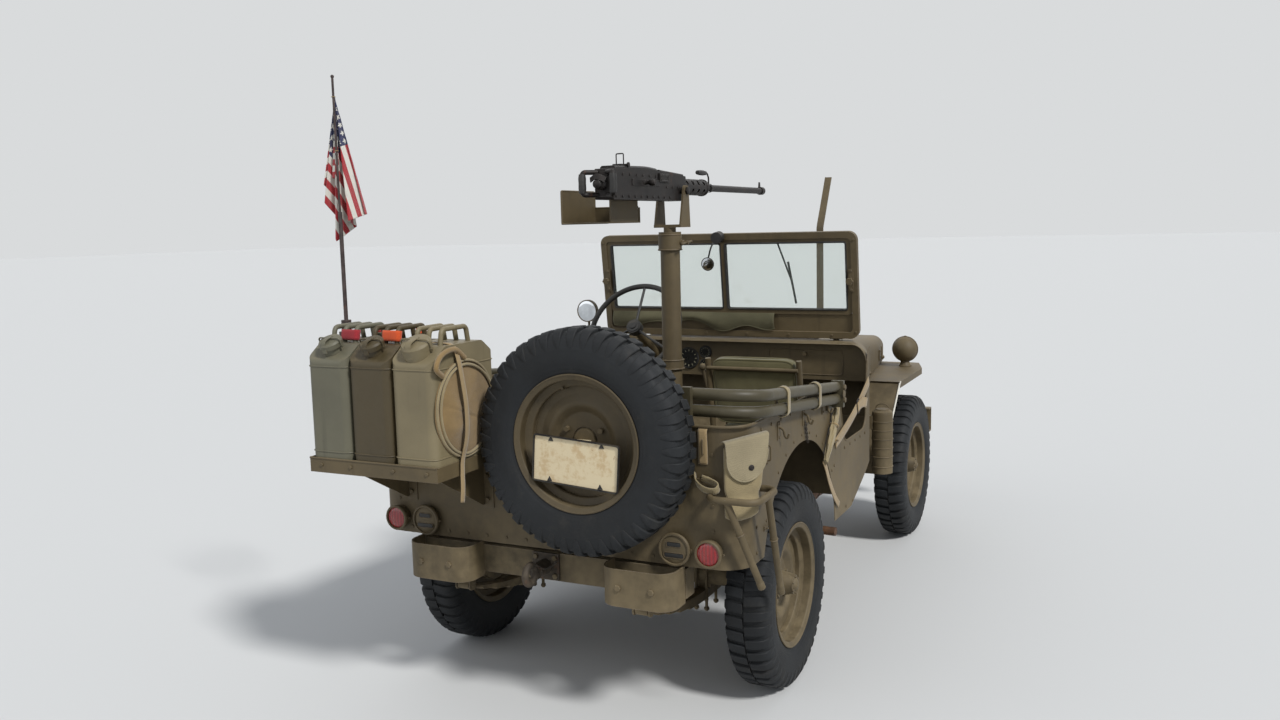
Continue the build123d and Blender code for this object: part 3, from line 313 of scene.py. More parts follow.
def ribbon(name, paths, width, finish, slot, gauge=0.0026, replaces=()):
    """Webbing: each path is drawn out to a band of one width. The length of the paths is summed, but nothing uses it.
    """
    bands, length = [], 0.0
    for path, across in paths:
        over = path_frame(path, across)[1]
        bands.append(surface(path[:, None] + np.linspace(-0.5, 0.5, 5)[None, :, None] * width * over[:, None]))
        length += float(np.linalg.norm(np.diff(path, axis=0), axis=1).sum())
    made = piece(name, joined(*bands), "car", finish, slot, thick=gauge, crease=70, replaces=replaces)


# Finishes


def shade(red, green, blue):
    """A colour read as on a screen, 0 to 255, in the linear values that a shader takes."""
    c = np.array((red, green, blue)) / 255
    linear = np.where(c <= 0.04045, c / 12.92, ((c + 0.055) / 1.055) ** 2.4)
    return (*linear.tolist(), 1.0)


def scaled(colour, by):
    """A colour made lighter or darker."""
    return (*(min(1.0, c * by) for c in colour[:3]), 1.0)


class Wire:
    """A shader socket's value. Sums, products and the like of wires add Math nodes."""

    def __init__(self, finish, made, output=0):
        self.finish, self.made, self.socket = finish, made, made.outputs[output]

    def math(self, operation, *terms):
        """A Math node's value."""
        return self.finish.node("Math", {"operation": operation}, dict(enumerate(terms)))

    def __add__(self, other):
        return self.math("ADD", self, other)

    def __sub__(self, other):
        return self.math("SUBTRACT", self, other)

    def __rsub__(self, other):
        return self.math("SUBTRACT", other, self)

    def __mul__(self, other):
        return self.math("MULTIPLY", self, other)

    def __truediv__(self, other):
        return self.math("DIVIDE", self, other)

    def __pow__(self, other):
        return self.math("POWER", self, other)

    __radd__, __rmul__ = __add__, __mul__

    def above(self, low, high):
        """Rises smoothly from 0 at low to 1 at high."""
        return self.finish.node("MapRange", {"interpolation_type": "SMOOTHSTEP"}, {0: self, 1: low, 2: high})

    def other(self, output):
        """Another output of the same node."""
        return Wire(self.finish, self.made, output)


class Finish:
    """One material's nodes."""

    def __init__(self, name):
        self.material = bpy.data.materials.new(name)
        self.material.use_nodes = True
        self.tree = self.material.node_tree
        self.tree.nodes.clear()
        self.place = self.node("TexCoord", {}, {}, output="Object")

    def node(self, kind, settings, sockets, output=0):
        """Adds a node: its settings are made first, then its sockets get values or links."""
        made = self.tree.nodes.new("ShaderNode" + kind)
        for key, value in settings.items():
            setattr(made, key, value)
        for key, value in sockets.items():
            if isinstance(value, Wire):
                self.tree.links.new(value.socket, made.inputs[key])
            else:
                made.inputs[key].default_value = value
        return Wire(self, made, output)

    def mix(self, first, second, share):
        """A colour between two others."""
        return self.node("Mix", {"data_type": "RGBA"}, {0: share, 6: first, 7: second}, output=2)

    def noise(self, scale, detail=4.0, rough=0.55, stretch=None):
        """Cloudy noise round the object, finer with scale, and drawn out along an axis by stretch."""
        place = self.place
        if stretch:
            place = self.node("VectorMath", {"operation": "MULTIPLY"}, {0: place, 1: stretch})
        return self.node("TexNoise", {}, {"Vector": place, "Scale": scale, "Detail": detail, "Roughness": rough})

    def split(self, vector=None):
        """The three numbers of a vector, of the place on the object if none is given."""
        first = self.node("SeparateXYZ", {}, {0: vector or self.place})
        return first, first.other(1), first.other(2)

    def facing_up(self):
        """How far the surface faces the sky."""
        normal = self.node("NewGeometry", {}, {}, output="Normal")
        return self.split(normal)[2]

    def edges(self, radius):
        """Near 1 on sharp corners: there the rounded normal departs from the true one."""
        rounded = self.node("Bevel", {"samples": 4}, {"Radius": radius})
        true = self.node("NewGeometry", {}, {}, output="Normal")
        return 1 - self.node("VectorMath", {"operation": "DOT_PRODUCT"}, {0: rounded, 1: true}, output="Value")

    def done(self, sockets, bump=None, depth=0.001, strength=1.0):
        """Closes the material with one Principled shader, and a bump of a real depth."""
        if bump is not None:
            sockets["Normal"] = self.node("Bump", {}, {"Height": bump, "Distance": depth, "Strength": strength})
        shader = self.node("BsdfPrincipled", {}, sockets)
        out = self.tree.nodes.new("ShaderNodeOutputMaterial")
        self.tree.links.new(shader.socket, out.inputs["Surface"])
        return self.material


OLIVE = shade(86, 74, 51)
DUST = shade(150, 134, 104)
PRIMER = shade(74, 48, 34)
BARE = shade(120, 112, 100)
SOOT = shade(24, 22, 19)


def field_paint(name, colour, rough=0.5, dust=0.5, chips_and_edge_highlight=0.6, edge=0.0018, grime=0.5):
    """Brushed enamel: faded in clouds, streaked by rain, rubbed to primer and steel on its edges, which also lays a
    painted highlight along every edge, with dust on what faces up or sits low."""
    f = Finish(name)
    cloud, mottle, grain = f.noise(2.3, 4), f.noise(21, 5, 0.6), f.noise(240, 3)
    run = f.noise(26, 4, stretch=(1, 1, 0.07))
    height = f.split()[2]
    base = f.mix(scaled(colour, 0.78), scaled(colour, 1.16), (cloud * 0.6 + mottle * 0.4).above(0.32, 0.68))
    base = f.mix(base, scaled(colour, 0.5), run.above(0.56, 0.78) * grime)
    # Edges: real wear down to primer and bare steel, and also a painted highlight that brightens every edge.
    rubbed = f.edges(edge) * 2.2 + mottle * 0.55 + f.noise(75, 3) * 0.35
    base = f.mix(base, PRIMER, (rubbed - 0.62).above(0, 0.14) * chips_and_edge_highlight)
    base = f.mix(base, BARE, (rubbed - 0.78).above(0, 0.16) * chips_and_edge_highlight)
    settled = f.facing_up().above(0.35, 1) * 0.55 + (1 - height.above(0.3, 0.85)) * 0.6
    settled = settled * (mottle * 0.8 + cloud * 0.7).above(0.45, 1.0) * dust
    base = f.mix(base, DUST, settled)
    roughness = rough + mottle * 0.22 + settled * 0.3 - (rubbed - 0.7).above(0, 0.2) * 0.12
    height_map = grain * 0.35 + mottle * 0.8 + f.noise(7, 3) * 2.2
    return f.done({"Base Color": base, "Roughness": roughness, "Specular IOR Level": 0.42},
                  bump=height_map, depth=0.0008, strength=0.7)


def worn_steel(name, colour, metallic, rough=0.42):
    """Phosphated steel, oily in clouds and bright along its edges."""
    f = Finish(name)
    mottle, scratch = f.noise(34, 5), f.noise(60, 4, stretch=(0.15, 1, 1))
    bright = (f.edges(0.0012) * 2.5 + scratch * 0.5 - 0.42).above(0, 0.3)
    base = f.mix(scaled(colour, 0.7), scaled(colour, 1.5), mottle.above(0.35, 0.7))
    base = f.mix(base, shade(150, 146, 140), bright * 0.55)
    base = f.mix(base, shade(104, 62, 36), f.noise(13, 6, 0.7).above(0.6, 0.72) * 0.55)
    return f.done({"Base Color": base, "Metallic": metallic, "Roughness": rough + mottle * 0.25 - bright * 0.1},
                  bump=f.noise(300, 3) * 0.5 + mottle, depth=0.0004)


def rusty_pipe(name):
    """Bare pipe, brown with heat and scale."""
    f = Finish(name)
    scale, speck = f.noise(16, 6, 0.7), f.noise(130, 4)
    base = f.mix(shade(58, 44, 36), shade(112, 78, 52), (scale * 0.7 + speck * 0.3).above(0.35, 0.65))
    return f.done({"Base Color": base, "Roughness": 0.62 + speck * 0.3, "Metallic": 0.2}, bump=speck + scale,
                  depth=0.0008)


def tyre_rubber(name):
    """Rubber, blue black where clean, with pale dust rubbed into the tread and worn on the ribs."""
    f = Finish(name)
    cloud, speck = f.noise(5, 5, 0.6), f.noise(150, 4, 0.65)
    base = f.mix(shade(13, 15, 17), shade(26, 29, 32), (cloud * 0.7 + speck * 0.3).above(0.35, 0.7))
    ground = (f.noise(11, 6, 0.7) * 0.8 + f.edges(0.004) * 0.7).above(0.42, 0.8)
    base = f.mix(base, shade(104, 97, 84), ground * 0.2)
    return f.done({"Base Color": base, "Roughness": 0.56 + speck * 0.3, "Specular IOR Level": 0.4},
                  bump=speck * 0.6 + f.noise(480, 2) * 0.5, depth=0.0006)


def woven(name, colour, threads=420, fade=0.3, stains=0.25, sheen=0.25):
    """Plain weave: two sine waves cross, and the cloth fades and stains in clouds."""
    f = Finish(name)
    a, b, c = f.split()
    warp = a.math("SINE", (a + c) * (threads * math.tau))
    weft = b.math("SINE", (b + c * 0.6) * (threads * math.tau * 0.9))
    cross = warp * weft * 0.5 + 0.5
    cloud, blot = f.noise(7, 5, 0.6), f.noise(24, 5, 0.65)
    base = f.mix(scaled(colour, 0.82), scaled(colour, 1.14), cloud.above(0.3, 0.7))
    base = f.mix(base, scaled(colour, 0.62), cross * 0.35)
    base = f.mix(base, scaled(colour, 1.35), blot.above(0.55, 0.8) * fade)
    base = f.mix(base, shade(70, 56, 38), f.noise(4, 6, 0.7).above(0.56, 0.74) * stains)
    return f.done({"Base Color": base, "Roughness": 0.86, "Sheen Weight": sheen, "Specular IOR Level": 0.2},
                  bump=cross * 0.7 + blot * 0.5, depth=0.0006)


def clear_glass(name):
    """Flat glass with a thin haze of dust toward its lower edge."""
    f = Finish(name)
    haze = (1 - f.split()[2].above(1.2, 1.5)) * f.noise(9, 5).above(0.55, 0.85) * 0.6
    return f.done({"Base Color": f.mix(shade(236, 242, 238), shade(206, 204, 190), haze),
                   "Roughness": 0.02 + haze * 0.16, "Transmission Weight": 0.96, "IOR": 1.12,
                   "Specular IOR Level": 0.3})


def lens(name, colour):
    """A moulded lens: a sine wave across it makes upright ribs, bumped and also painted as lighter and darker stripes
    of painted highlight and painted shade, with dust over them.
    """
    f = Finish(name)
    x = f.split()[0]
    ribs = x.math("SINE", x * 520)
    # Painted highlight and painted shade: each rib is drawn lighter and darker across the lens.
    base = f.mix(scaled(colour, 0.75), scaled(colour, 1.25), ribs * 0.5 + 0.5)
    base = f.mix(base, DUST, f.noise(12, 4).above(0.5, 0.8) * 0.25)
    return f.done({"Base Color": base, "Roughness": 0.18 + f.noise(20) * 0.2, "Coat Weight": 0.6,
                   "Transmission Weight": 0.2}, bump=ribs, depth=0.0003)


def headlamp_glass_painted_reflection(name, centre, radius):
    """A painted reflection of the lamp's bowl seen through upright ribs: a bright painted highlight for the bulb at the
    centre, painted shade growing darker with the distance from its lamp's centre, and a pale painted highlight at the
    rim.
    """
    f = Finish(name)
    x, _, z = f.split()
    across, up = x.math("ABSOLUTE", x) - centre[0], z - centre[2]
    reach = across * across + up * up
    out = reach.math("SQRT", reach) / radius
    # Painted reflection: a bright centre for the bulb, painted shade out toward the rim, and a pale painted highlight
    # on the rim.
    painted_reflection_and_dust = f.mix(shade(232, 232, 222), shade(186, 190, 188), out.above(0.12, 0.2))
    painted_reflection_and_dust = f.mix(painted_reflection_and_dust, shade(112, 116, 114), out.above(0.2, 0.85))
    painted_reflection_and_dust = f.mix(painted_reflection_and_dust, shade(214, 216, 208), out.above(0.88, 0.93))
    # The ribs are bumped, and are also painted as lighter stripes, a painted highlight.
    ribs = x.math("SINE", x * 900)
    painted_reflection_and_dust = f.mix(painted_reflection_and_dust, scaled(shade(214, 216, 208), 0.9), ribs.above(0.2, 0.9) * 0.35)
    painted_reflection_and_dust = f.mix(painted_reflection_and_dust, DUST, f.noise(9, 4).above(0.5, 0.8) * 0.3)
    return f.done({"Base Color": painted_reflection_and_dust, "Roughness": 0.12 + f.noise(9) * 0.12, "Coat Weight": 0.6},
                  bump=ribs, depth=0.0002)


def chrome(name):
    """Mirror plate, faintly smeared."""
    f = Finish(name)
    smear = f.noise(18, 5)
    return f.done({"Base Color": f.mix(shade(214, 218, 222), shade(186, 190, 194), smear.above(0.4, 0.7)),
                   "Metallic": 1.0, "Roughness": 0.04 + smear.above(0.5, 0.8) * 0.12})


def moulded_black(name):
    """Black plastic or rubber, greyed by dust."""
    f = Finish(name)
    cloud, speck = f.noise(12, 5), f.noise(160, 3)
    base = f.mix(shade(24, 23, 22), shade(48, 46, 42), (cloud * 0.6 + speck * 0.4).above(0.4, 0.7))
    base = f.mix(base, DUST, f.facing_up().above(0.4, 1) * cloud.above(0.45, 0.8) * 0.3)
    return f.done({"Base Color": base, "Roughness": 0.45 + speck * 0.2}, bump=speck, depth=0.0003)


def haft_wood(name, steel_from):
    """Tool hafts of painted ash, drawn out along the vehicle, and steel forward of one place."""
    f = Finish(name)
    y = f.split()[1]
    grain = f.noise(60, 5, 0.65, stretch=(1, 0.06, 1))
    wood = f.mix(shade(116, 84, 50), shade(78, 56, 34), grain.above(0.35, 0.65))
    wood = f.mix(wood, OLIVE, f.noise(6, 5).above(0.46, 0.56) * 0.7)
    steel = f.mix(scaled(OLIVE, 0.85), shade(96, 84, 70), f.noise(22, 5).above(0.5, 0.7))
    is_steel = y.above(steel_from - 0.002, steel_from + 0.002)
    return f.done({"Base Color": f.mix(wood, steel, is_steel), "Roughness": 0.62 - is_steel * 0.12},
                  bump=grain, depth=0.0006)


def can_enamel(name, bodies, split_x=None):
    """Can paint, in one colour or in two on either side of a place across the rack."""
    f = Finish(name)
    cloud, mottle = f.noise(5, 4), f.noise(24, 5, 0.6)
    run = f.noise(40, 4, stretch=(1, 1, 0.06))
    colour = bodies[0]
    if split_x is not None:
        colour = f.mix(bodies[0], bodies[1], f.split()[0].above(split_x - 0.001, split_x + 0.001))
    base = f.mix(colour, SOOT, (1 - cloud.above(0.2, 0.7)) * 0.22 + run.above(0.55, 0.8) * 0.25)
    rubbed = f.edges(0.003) * 1.8 + mottle * 0.6
    base = f.mix(base, shade(78, 60, 42), (rubbed - 0.6).above(0, 0.2) * 0.55)
    base = f.mix(base, DUST, f.facing_up().above(0.4, 1) * mottle.above(0.4, 0.8) * 0.3)
    return f.done({"Base Color": base, "Roughness": 0.4 + mottle * 0.3, "Specular IOR Level": 0.45},
                  bump=mottle + f.noise(9, 3) * 2, depth=0.0008)


def plate_enamel(name, centre, tilt, half):
    """Cream plate, blank, with a dark rim, chips and rust round its slots."""
    f = Finish(name)
    x, _, z = f.split()
    across = (x - centre[0]) * math.cos(tilt) + (z - centre[2]) * math.sin(tilt)
    up = (z - centre[2]) * math.cos(tilt) - (x - centre[0]) * math.sin(tilt)
    edge = across.math("ABSOLUTE", across).above(half[0] - 0.007, half[0] - 0.005)
    edge = edge.math("MAXIMUM", edge, up.math("ABSOLUTE", up).above(half[1] - 0.007, half[1] - 0.005))
    stain = f.noise(17, 6, 0.7)
    cream = f.mix(shade(206, 190, 156), shade(180, 152, 110), stain.above(0.5, 0.66) * 0.7)
    cream = f.mix(cream, shade(112, 74, 44), f.noise(60, 5, 0.7).above(0.66, 0.72) * 0.8)
    return f.done({"Base Color": f.mix(cream, shade(40, 32, 26), edge), "Roughness": 0.42 + stain * 0.2},
                  bump=edge * 0.8 + stain * 0.4, depth=0.0008)


def flag_cloth(name):
    """Thirteen stripes, and a blue canton whose stars are five-pointed in the plane of the cloth."""
    f = Finish(name)
    u, v, _ = f.split(f.node("UVMap", {}, {}, output="UV"))
    stripe = v.math("FRACT", v * 6.5).above(0.49, 0.51)
    red, white, blue = shade(176, 38, 46), shade(232, 228, 216), shade(36, 42, 84)
    cloth = f.mix(red, white, stripe)
    column, row = u / 0.4 * 6, v / (7 / 13) * 5
    dx = column.math("FRACT", column) - 0.5
    dy = row.math("FRACT", row) - 0.5
    reach = (dx * dx + dy * dy * 0.75) ** 0.5
    angle = dx.math("ARCTAN2", dx, dy)
    point = angle.math("COSINE", angle * 5) * 0.09 + 0.24
    star = 1 - (reach - point).above(-0.02, 0.02)
    in_canton = (1 - u.above(0.398, 0.402)) * (1 - v.above(0.537, 0.5405))
    cloth = f.mix(cloth, f.mix(blue, white, star), in_canton)
    cloth = f.mix(cloth, shade(120, 110, 96), f.noise(20, 5).above(0.45, 0.8) * 0.25)
    weave = u.math("SINE", u * 2200) * v.math("SINE", v * 1500)
    return f.done({"Base Color": cloth, "Roughness": 0.8, "Sheen Weight": 0.3, "Specular IOR Level": 0.2},
                  bump=weave, depth=0.0003)


def gauge_face(name):
    """Black dials with pale ticks round them."""
    f = Finish(name)
    u, v, _ = f.split(f.node("UVMap", {}, {}, output="UV"))
    tick = u.math("FRACT", u * 12)
    mark = (1 - tick.above(0.08, 0.12)) * v.above(0.66, 0.7) * (1 - v.above(0.86, 0.9))
    return f.done({"Base Color": f.mix(shade(20, 20, 19), shade(204, 198, 170), mark),
                   "Roughness": 0.2 + f.noise(50) * 0.2, "Coat Weight": 0.5})


paint = field_paint("olive enamel", OLIVE)
thick_paint = field_paint("olive enamel on plate", OLIVE, edge=0.004, chips_and_edge_highlight=0.7)
under_paint = field_paint("underside enamel", scaled(OLIVE, 0.62), rough=0.6, dust=0.9, edge=0.004)
wheel_paint = field_paint("wheel enamel", scaled(OLIVE, 0.82), dust=0.45, chips_and_edge_highlight=0.45)
bow_paint = field_paint("bow enamel", shade(66, 60, 42), rough=0.4, dust=0.15, chips_and_edge_highlight=0.4, grime=0.4)
gun_steel = worn_steel("display steel", shade(34, 30, 28), metallic=0.5)
cast_steel = worn_steel("cast steel", shade(66, 58, 48), rough=0.6, metallic=0.35)
mast_steel = worn_steel("mast steel", shade(66, 56, 54), rough=0.5, metallic=0.4)
pipe_rust = rusty_pipe("exhaust pipe")
rubber = tyre_rubber("tyre rubber")
black = moulded_black("black mouldings")
khaki = woven("khaki canvas", shade(148, 133, 100))
pale_khaki = woven("pale khaki canvas", shade(152, 140, 112))
brown_canvas = woven("brown canvas", shade(136, 112, 74), stains=0.4)
seat_canvas = woven("seat canvas", shade(104, 98, 68))
webbing = woven("tan webbing", shade(152, 130, 94), threads=300, fade=0.2)
pad_cloth = woven("dash cover cloth", shade(92, 88, 66), sheen=0.1)
glass = clear_glass("windshield glass")
red_lens = lens("red lens", shade(142, 14, 20))
headlamp_place, headlamp_radius = (0.33, 2.3375, 0.775), 0.0755
# Headlamp glass carrying a painted reflection round each lamp's centre.
headlamp_painted_reflection = headlamp_glass_painted_reflection("headlamp glass with painted reflection", at(*headlamp_place), headlamp_radius)
mirror_plate = chrome("mirror plate")
fuel_enamel = can_enamel("fuel can enamel", (shade(97, 94, 77), shade(68, 58, 36)),
                         split_x=float(middle("fuel_cans")[0]))
water_enamel = can_enamel("water can enamel", (shade(120, 109, 82),))
wood = haft_wood("tool hafts", float(at(0, 0.975, 0)[1]))

plate_tilt = math.radians(-4)
plate_centre = (0.21, 0, 0.908)
plate_half = (0.152, 0.076)
plate = plate_enamel("blank number plate", plate_centre, plate_tilt, plate_half)
flag_dye = flag_cloth("flag cloth")
dials = gauge_face("gauge faces")

finish_of = {
    paint: ("body_tub", "grille", "front_fenders", "hood", "windshield_frame", "seat_frames", "rear_seat",
            "steering_column", "spare_carrier", "can_rack", "gun_cradle", "ammo_tray", "mirror",
            "side_canister", "front_lamps", "rear_lamps"),
    thick_paint: ("front_bumper", "rear_bumperettes", "wire_cutter", "pedestal", "corner_handles"),
    under_paint: ("frame", "front_axle", "rear_axle", "knuckle_left", "knuckle_right", "tie_rod",
                  "leaf_springs", "driveshafts", "radiator", "driver_controls"),
    wheel_paint: ("wheel_front_left", "wheel_front_right", "wheel_rear_left", "wheel_rear_right", "spare_wheel"),
    bow_paint: ("top_bows",),
    gun_steel: ("display_gun",),
    cast_steel: ("tow_pintle", "engine_and_gearbox"),
    mast_steel: ("antenna",),
    pipe_rust: ("exhaust",),
    rubber: ("spare_tyre", "tyre_front_left", "tyre_front_right", "tyre_rear_left", "tyre_rear_right"),
    black: ("wipers", "steering_wheel"),
    glass: ("windshield_glass",),
    fuel_enamel: ("fuel_cans",),
    water_enamel: ("water_can",),
    plate: ("number_plate",),
    flag_dye: ("flag",),
    khaki: ("canvas_bucket", "side_bag"),
    seat_canvas: ("seat_cushions", "rear_cushions"),
    webbing: ("door_straps",),
    wood: ("pioneer_tools",),
}
for finish, names in finish_of.items():
    for name in names:
        mesh = nodes[name].data
        mesh.materials.clear()
        mesh.materials.append(finish)


def painted(name, *shapes, **more):
    """A piece of the body, in its own paint."""
    return piece(name, joined(*shapes), "car", paint, "body_paint", **more)


# Tyres: a carcass turned from one section, with two rows of lugs that alternate

lug_count = 44
carcass_half = [(0.042, 0.2035), (0.055, 0.2032), (0.064, 0.222), (0.0745, 0.252), (0.0775, 0.284),
                (0.0755, 0.314), (0.068, 0.335), (0.052, 0.3465), (0.026, 0.3495), (0, 0.35)]
lug_run = [(0.003, 0.3595), (0.028, 0.36), (0.05, 0.3585), (0.064, 0.3505), (0.0735, 0.335), (0.0775, 0.316),
           (0.0782, 0.3)]
lug_drop = [0.011, 0.0112, 0.0125, 0.011, 0.009, 0.0055, 0.002]
lug_half = [0.0165, 0.0165, 0.0165, 0.0155, 0.0135, 0.01, 0.0045]
lug_sweep = [0.006, 0.003, 0.0, 0.0, 0.0, 0.0, 0.0]


def carcass(centre, outward):
    """The tyre's closed section turned round its axle, with raised rings on the sidewalls."""
    half = smooth(carcass_half, 7)
    half[:, 0] += 0.0011 * sum(np.exp(-(((half[:, 1] - r) / 0.0022) ** 2)) for r in (0.226, 0.238, 0.296))
    outer = np.concatenate([half, half[-2::-1] * (-1, 1)])
    inner = np.array([(-0.06, 0.284), (-0.05, 0.33), (0.05, 0.33), (0.06, 0.284)])
    section = np.concatenate([outer, inner])
    return turned(section[:, ::-1], centre, outward, steps=132, closed=True)


def lug_row(side, phase):
    """One shoulder's lugs about the origin, axle along z: a strip that runs from the tread's middle
    over the shoulder, chamfered along both edges, turned to every place round the tyre."""
    x, r = np.array(lug_run).T
    drop, half, sweep = np.array(lug_drop), np.array(lug_half), np.array(lug_sweep)
    normal = unit(np.stack([-np.gradient(r), np.gradient(x)], -1))
    corners = [(-1.12, 1.0), (-1.0, 0.16), (-0.86, 0.0), (0.86, 0.0), (1.0, 0.16), (1.12, 1.0)]
    rows = []
    for place, depth in corners:
        radius = r - depth * drop * normal[:, 1]
        along = x - depth * drop * normal[:, 0]
        angle = (place * half + sweep) / r
        rows.append(np.stack([radius * np.cos(angle), radius * np.sin(angle), side * along], -1))
    strip = np.stack(rows, 1)
    strip = np.concatenate([strip.mean(1, keepdims=True)[:1].repeat(6, 1), strip,
                            strip.mean(1, keepdims=True)[-1:].repeat(6, 1)])
    angles = 2 * np.pi * (np.arange(lug_count) + phase) / lug_count
    return repeated(surface(strip, wrap_columns=True), spin(UP, angles), np.zeros((lug_count, 3)))


tread = joined(lug_row(1, 0.0), lug_row(-1, 0.5))
corner_tyres = [("front_left", -1, front_y), ("front_right", 1, front_y),
                ("rear_left", -1, axle_y), ("rear_right", 1, axle_y)]
tyre_places = [(f"tyre_{name}", f"wheel_{name}", (side * half_track, y, tyre_radius), (side, 0, 0))
               for name, side, y in corner_tyres]
tyre_places.append(("spare_tyre", "car", middle("spare_tyre"), BACK))
for node, body, centre, outward in tyre_places:
    made = joined(carcass(np.array(centre), outward), moved(tread, standing(outward), np.array(centre)))
    piece(f"{node}_treaded", made, body, rubber, "tyre_rubber", replaces=(node,), crease=32)

# Flag: hung from its top corner, so the cloth stays flat along lines from that corner and pleats round it

flag_fly, flag_hoist = 0.405, 0.27
mast_x, mast_y, flag_top = -0.716, -0.64, 2.09


def hung_flag(swing=0.072, folds=5):
    """A cone of pleats. Each point keeps its distance from the top corner. Its direction swings to and fro
    while it leans from right of the mast, over to its left and back to the hoist edge, which lies along the
    mast. The swing is set so that the whole zigzag is the right angle of the flat corner: nothing stretches."""
    u, v = np.meshgrid(np.linspace(0, 1, 130), np.linspace(0, 1, 90), indexing="ij")
    reach = np.hypot(u * flag_fly, v * flag_hoist)
    turn = np.arctan2(v * flag_hoist, u * flag_fly) / (np.pi / 2)
    fine = np.linspace(0, 1, 4000)
    leans = np.polyfit((0, 0.2, 0.37, 0.55, 0.72, 0.88, 1), (0.12, 0.03, -0.1, -0.2, -0.255, -0.15, 0), 5)

    def direction(t, swing):
        ahead = swing * (1.05 + np.sin(t * folds * math.tau + 0.6)) * (0.75 + 0.25 * np.cos(7 * t)) * (1 - t**8)
        return unit(np.stack([np.polyval(leans, t), ahead, -np.ones_like(t)], -1))

    for _ in range(12):
        walked = np.concatenate([[0], np.cumsum(np.linalg.norm(np.diff(direction(fine, swing), axis=0), axis=-1))])
        swing *= (np.pi / 2) / walked[-1]
    t = np.interp(turn * walked[-1], walked, fine)
    return reach[..., None] * direction(t, swing), np.stack([u, v], -1)


flag_points, flag_uv = hung_flag()
flag_points = flag_points + at(mast_x, mast_y + 0.006, flag_top - 0.004)
flag_points[..., 1] = np.maximum(flag_points[..., 1], axle_y + mast_y + 0.0078)
flag = piece("flag_cloth", surface(flag_points), "car", flag_dye, "flag_cloth", replaces=("flag",), uv=flag_uv,
             crease=180, doubles=False, thick=0.0006)
flag_ties = [ring(at(mast_x, mast_y, z), UP, 0.0058, 0.0016, steps=20) for z in (flag_top - 0.006, 1.905)]
piece("flag_ties", joined(*flag_ties), "car", webbing, "webbing")

# Seats: crowned canvas pads between the tubes, with welts along their edges


def seat_pad(name, centre, half, tilt, node):
    """A pad with a welt round its upper and lower edges, tilted about the axis across the vehicle."""
    turn = spin(RIGHT, tilt)[0]
    pad = stuffed(half, crown=0.16)
    rounded = powered(circle(1, 96), 0.22) * half[:2] * 0.975
    loop = np.concatenate([rounded, np.full((96, 1), half[2] * 0.66)], 1)
    welts = [tube(loop * (1, 1, sign), 0.004, 8, across=UP, loop=True) for sign in (-1, 1)]
    shape = joined(pad, *welts)
    made = piece(name, moved(shape, turn, centre), "car", seat_canvas, "seat_canvas", replaces=(node,), crease=60)


def along_line(line, low, share, lift):
    """A place along one run of a seat's side line, lifted square to it."""
    start, finish = np.array(line[low]), np.array(line[low + 1])
    run = finish - start
    return start + share * run + lift * np.array((run[1], -run[0])) / np.linalg.norm(run)


front_line = ((0.91, 0.74), (0.58, 0.72), (0.52, 1.085))
bench_line = ((0.06, 0.79), (-0.3, 0.78), (-0.37, 1.0))
part_table = [("seat", 0, (0.05, 0.86), (-0.006, 0.066)), ("back", 1, (0.25, 1.0), (-0.006, 0.041))]
pad_table = [(f"{who}_{part}", front_line, low, shares, lifts, x, 0.178, "seat_cushions")
             for who, x in (("driver", -0.345), ("passenger", 0.345)) for part, low, shares, lifts in part_table]
pad_table += [("bench_seat", bench_line, 0, (0.05, 0.9), (-0.006, 0.064), 0.0, 0.405, "rear_cushions"),
              ("bench_back", bench_line, 1, (0.34, 1.0), (-0.006, 0.041), 0.0, 0.405, "rear_cushions")]
for name, line, low, shares, lifts, x, half_across, node in pad_table:
    ends = [along_line(line, low, share, sum(lifts) / 2) for share in shares]
    run = ends[1] - ends[0]
    centre = at(x, *((ends[0] + ends[1]) / 2))
    half = (half_across, np.linalg.norm(run) / 2, (lifts[1] - lifts[0]) / 2)
    seat_pad(name + "_pad", centre, half, math.atan2(-run[1], -run[0]), node)

# Door straps: webbing across each doorway, with a buckle and a loose tail


def door_strap(side):
    """A strap that sags between its two ends, its loose tail, and the place of its buckle."""
    t = np.linspace(0, 1, 40)[:, None]
    start, finish = at(side * 0.7035, 0.457, 0.777), at(side * 0.7035, 0.973, 0.95)
    path = start + t * (finish - start) + np.array((side * 0.004, 0, -0.012)) * np.sin(np.pi * t)
    tail = path[23:34] + np.linspace(0, 1, 11)[:, None] ** 2 * np.array((side * 0.006, 0, -0.05)) + (side * 0.004, 0, 0)
    return [(path, (0, -0.32, 0.95)), (tail, (0, -0.32, 0.95))], path[24] + np.array((side * 0.003, 0, 0))


straps, buckles = zip(*(door_strap(side) for side in (-1, 1)))
ribbon("door_strap_webbing", straps[0] + straps[1], 0.042, webbing, "webbing",
       replaces=("door_straps",))


def buckle(centre, along, across, half=(0.016, 0.026), gauge=0.0022):
    """A wire frame with a bar across its middle."""
    corners = [(-1, -1), (1, -1), (1, 1), (-1, 1)]
    loop = np.array([centre + a * half[0] * np.array(along) + b * half[1] * np.array(across) for a, b in corners])
    frame_path = smooth(np.concatenate([loop, loop[:1]]), 4)[:-1]
    bar = rod(centre - half[1] * np.array(across), centre + half[1] * np.array(across), gauge)
    return joined(tube(frame_path, gauge, 8, loop=True), bar)


strap_way = unit(np.array((0, 0.516, 0.173)))
strap_across = np.array((0, -strap_way[2], strap_way[1]))
piece("door_strap_buckles", joined(*(buckle(c, strap_way, strap_across) for c in buckles)), "car", gun_steel,
      "dark_steel")

# Folded canvas bucket against the water can

bucket_low, bucket_high = (np.array(c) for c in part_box("canvas_bucket"))
bucket_centre = (bucket_low + bucket_high) / 2
bucket_radius = (bucket_high[2] - bucket_low[2]) / 2
bucket_depth = bucket_high[0] - bucket_low[0]


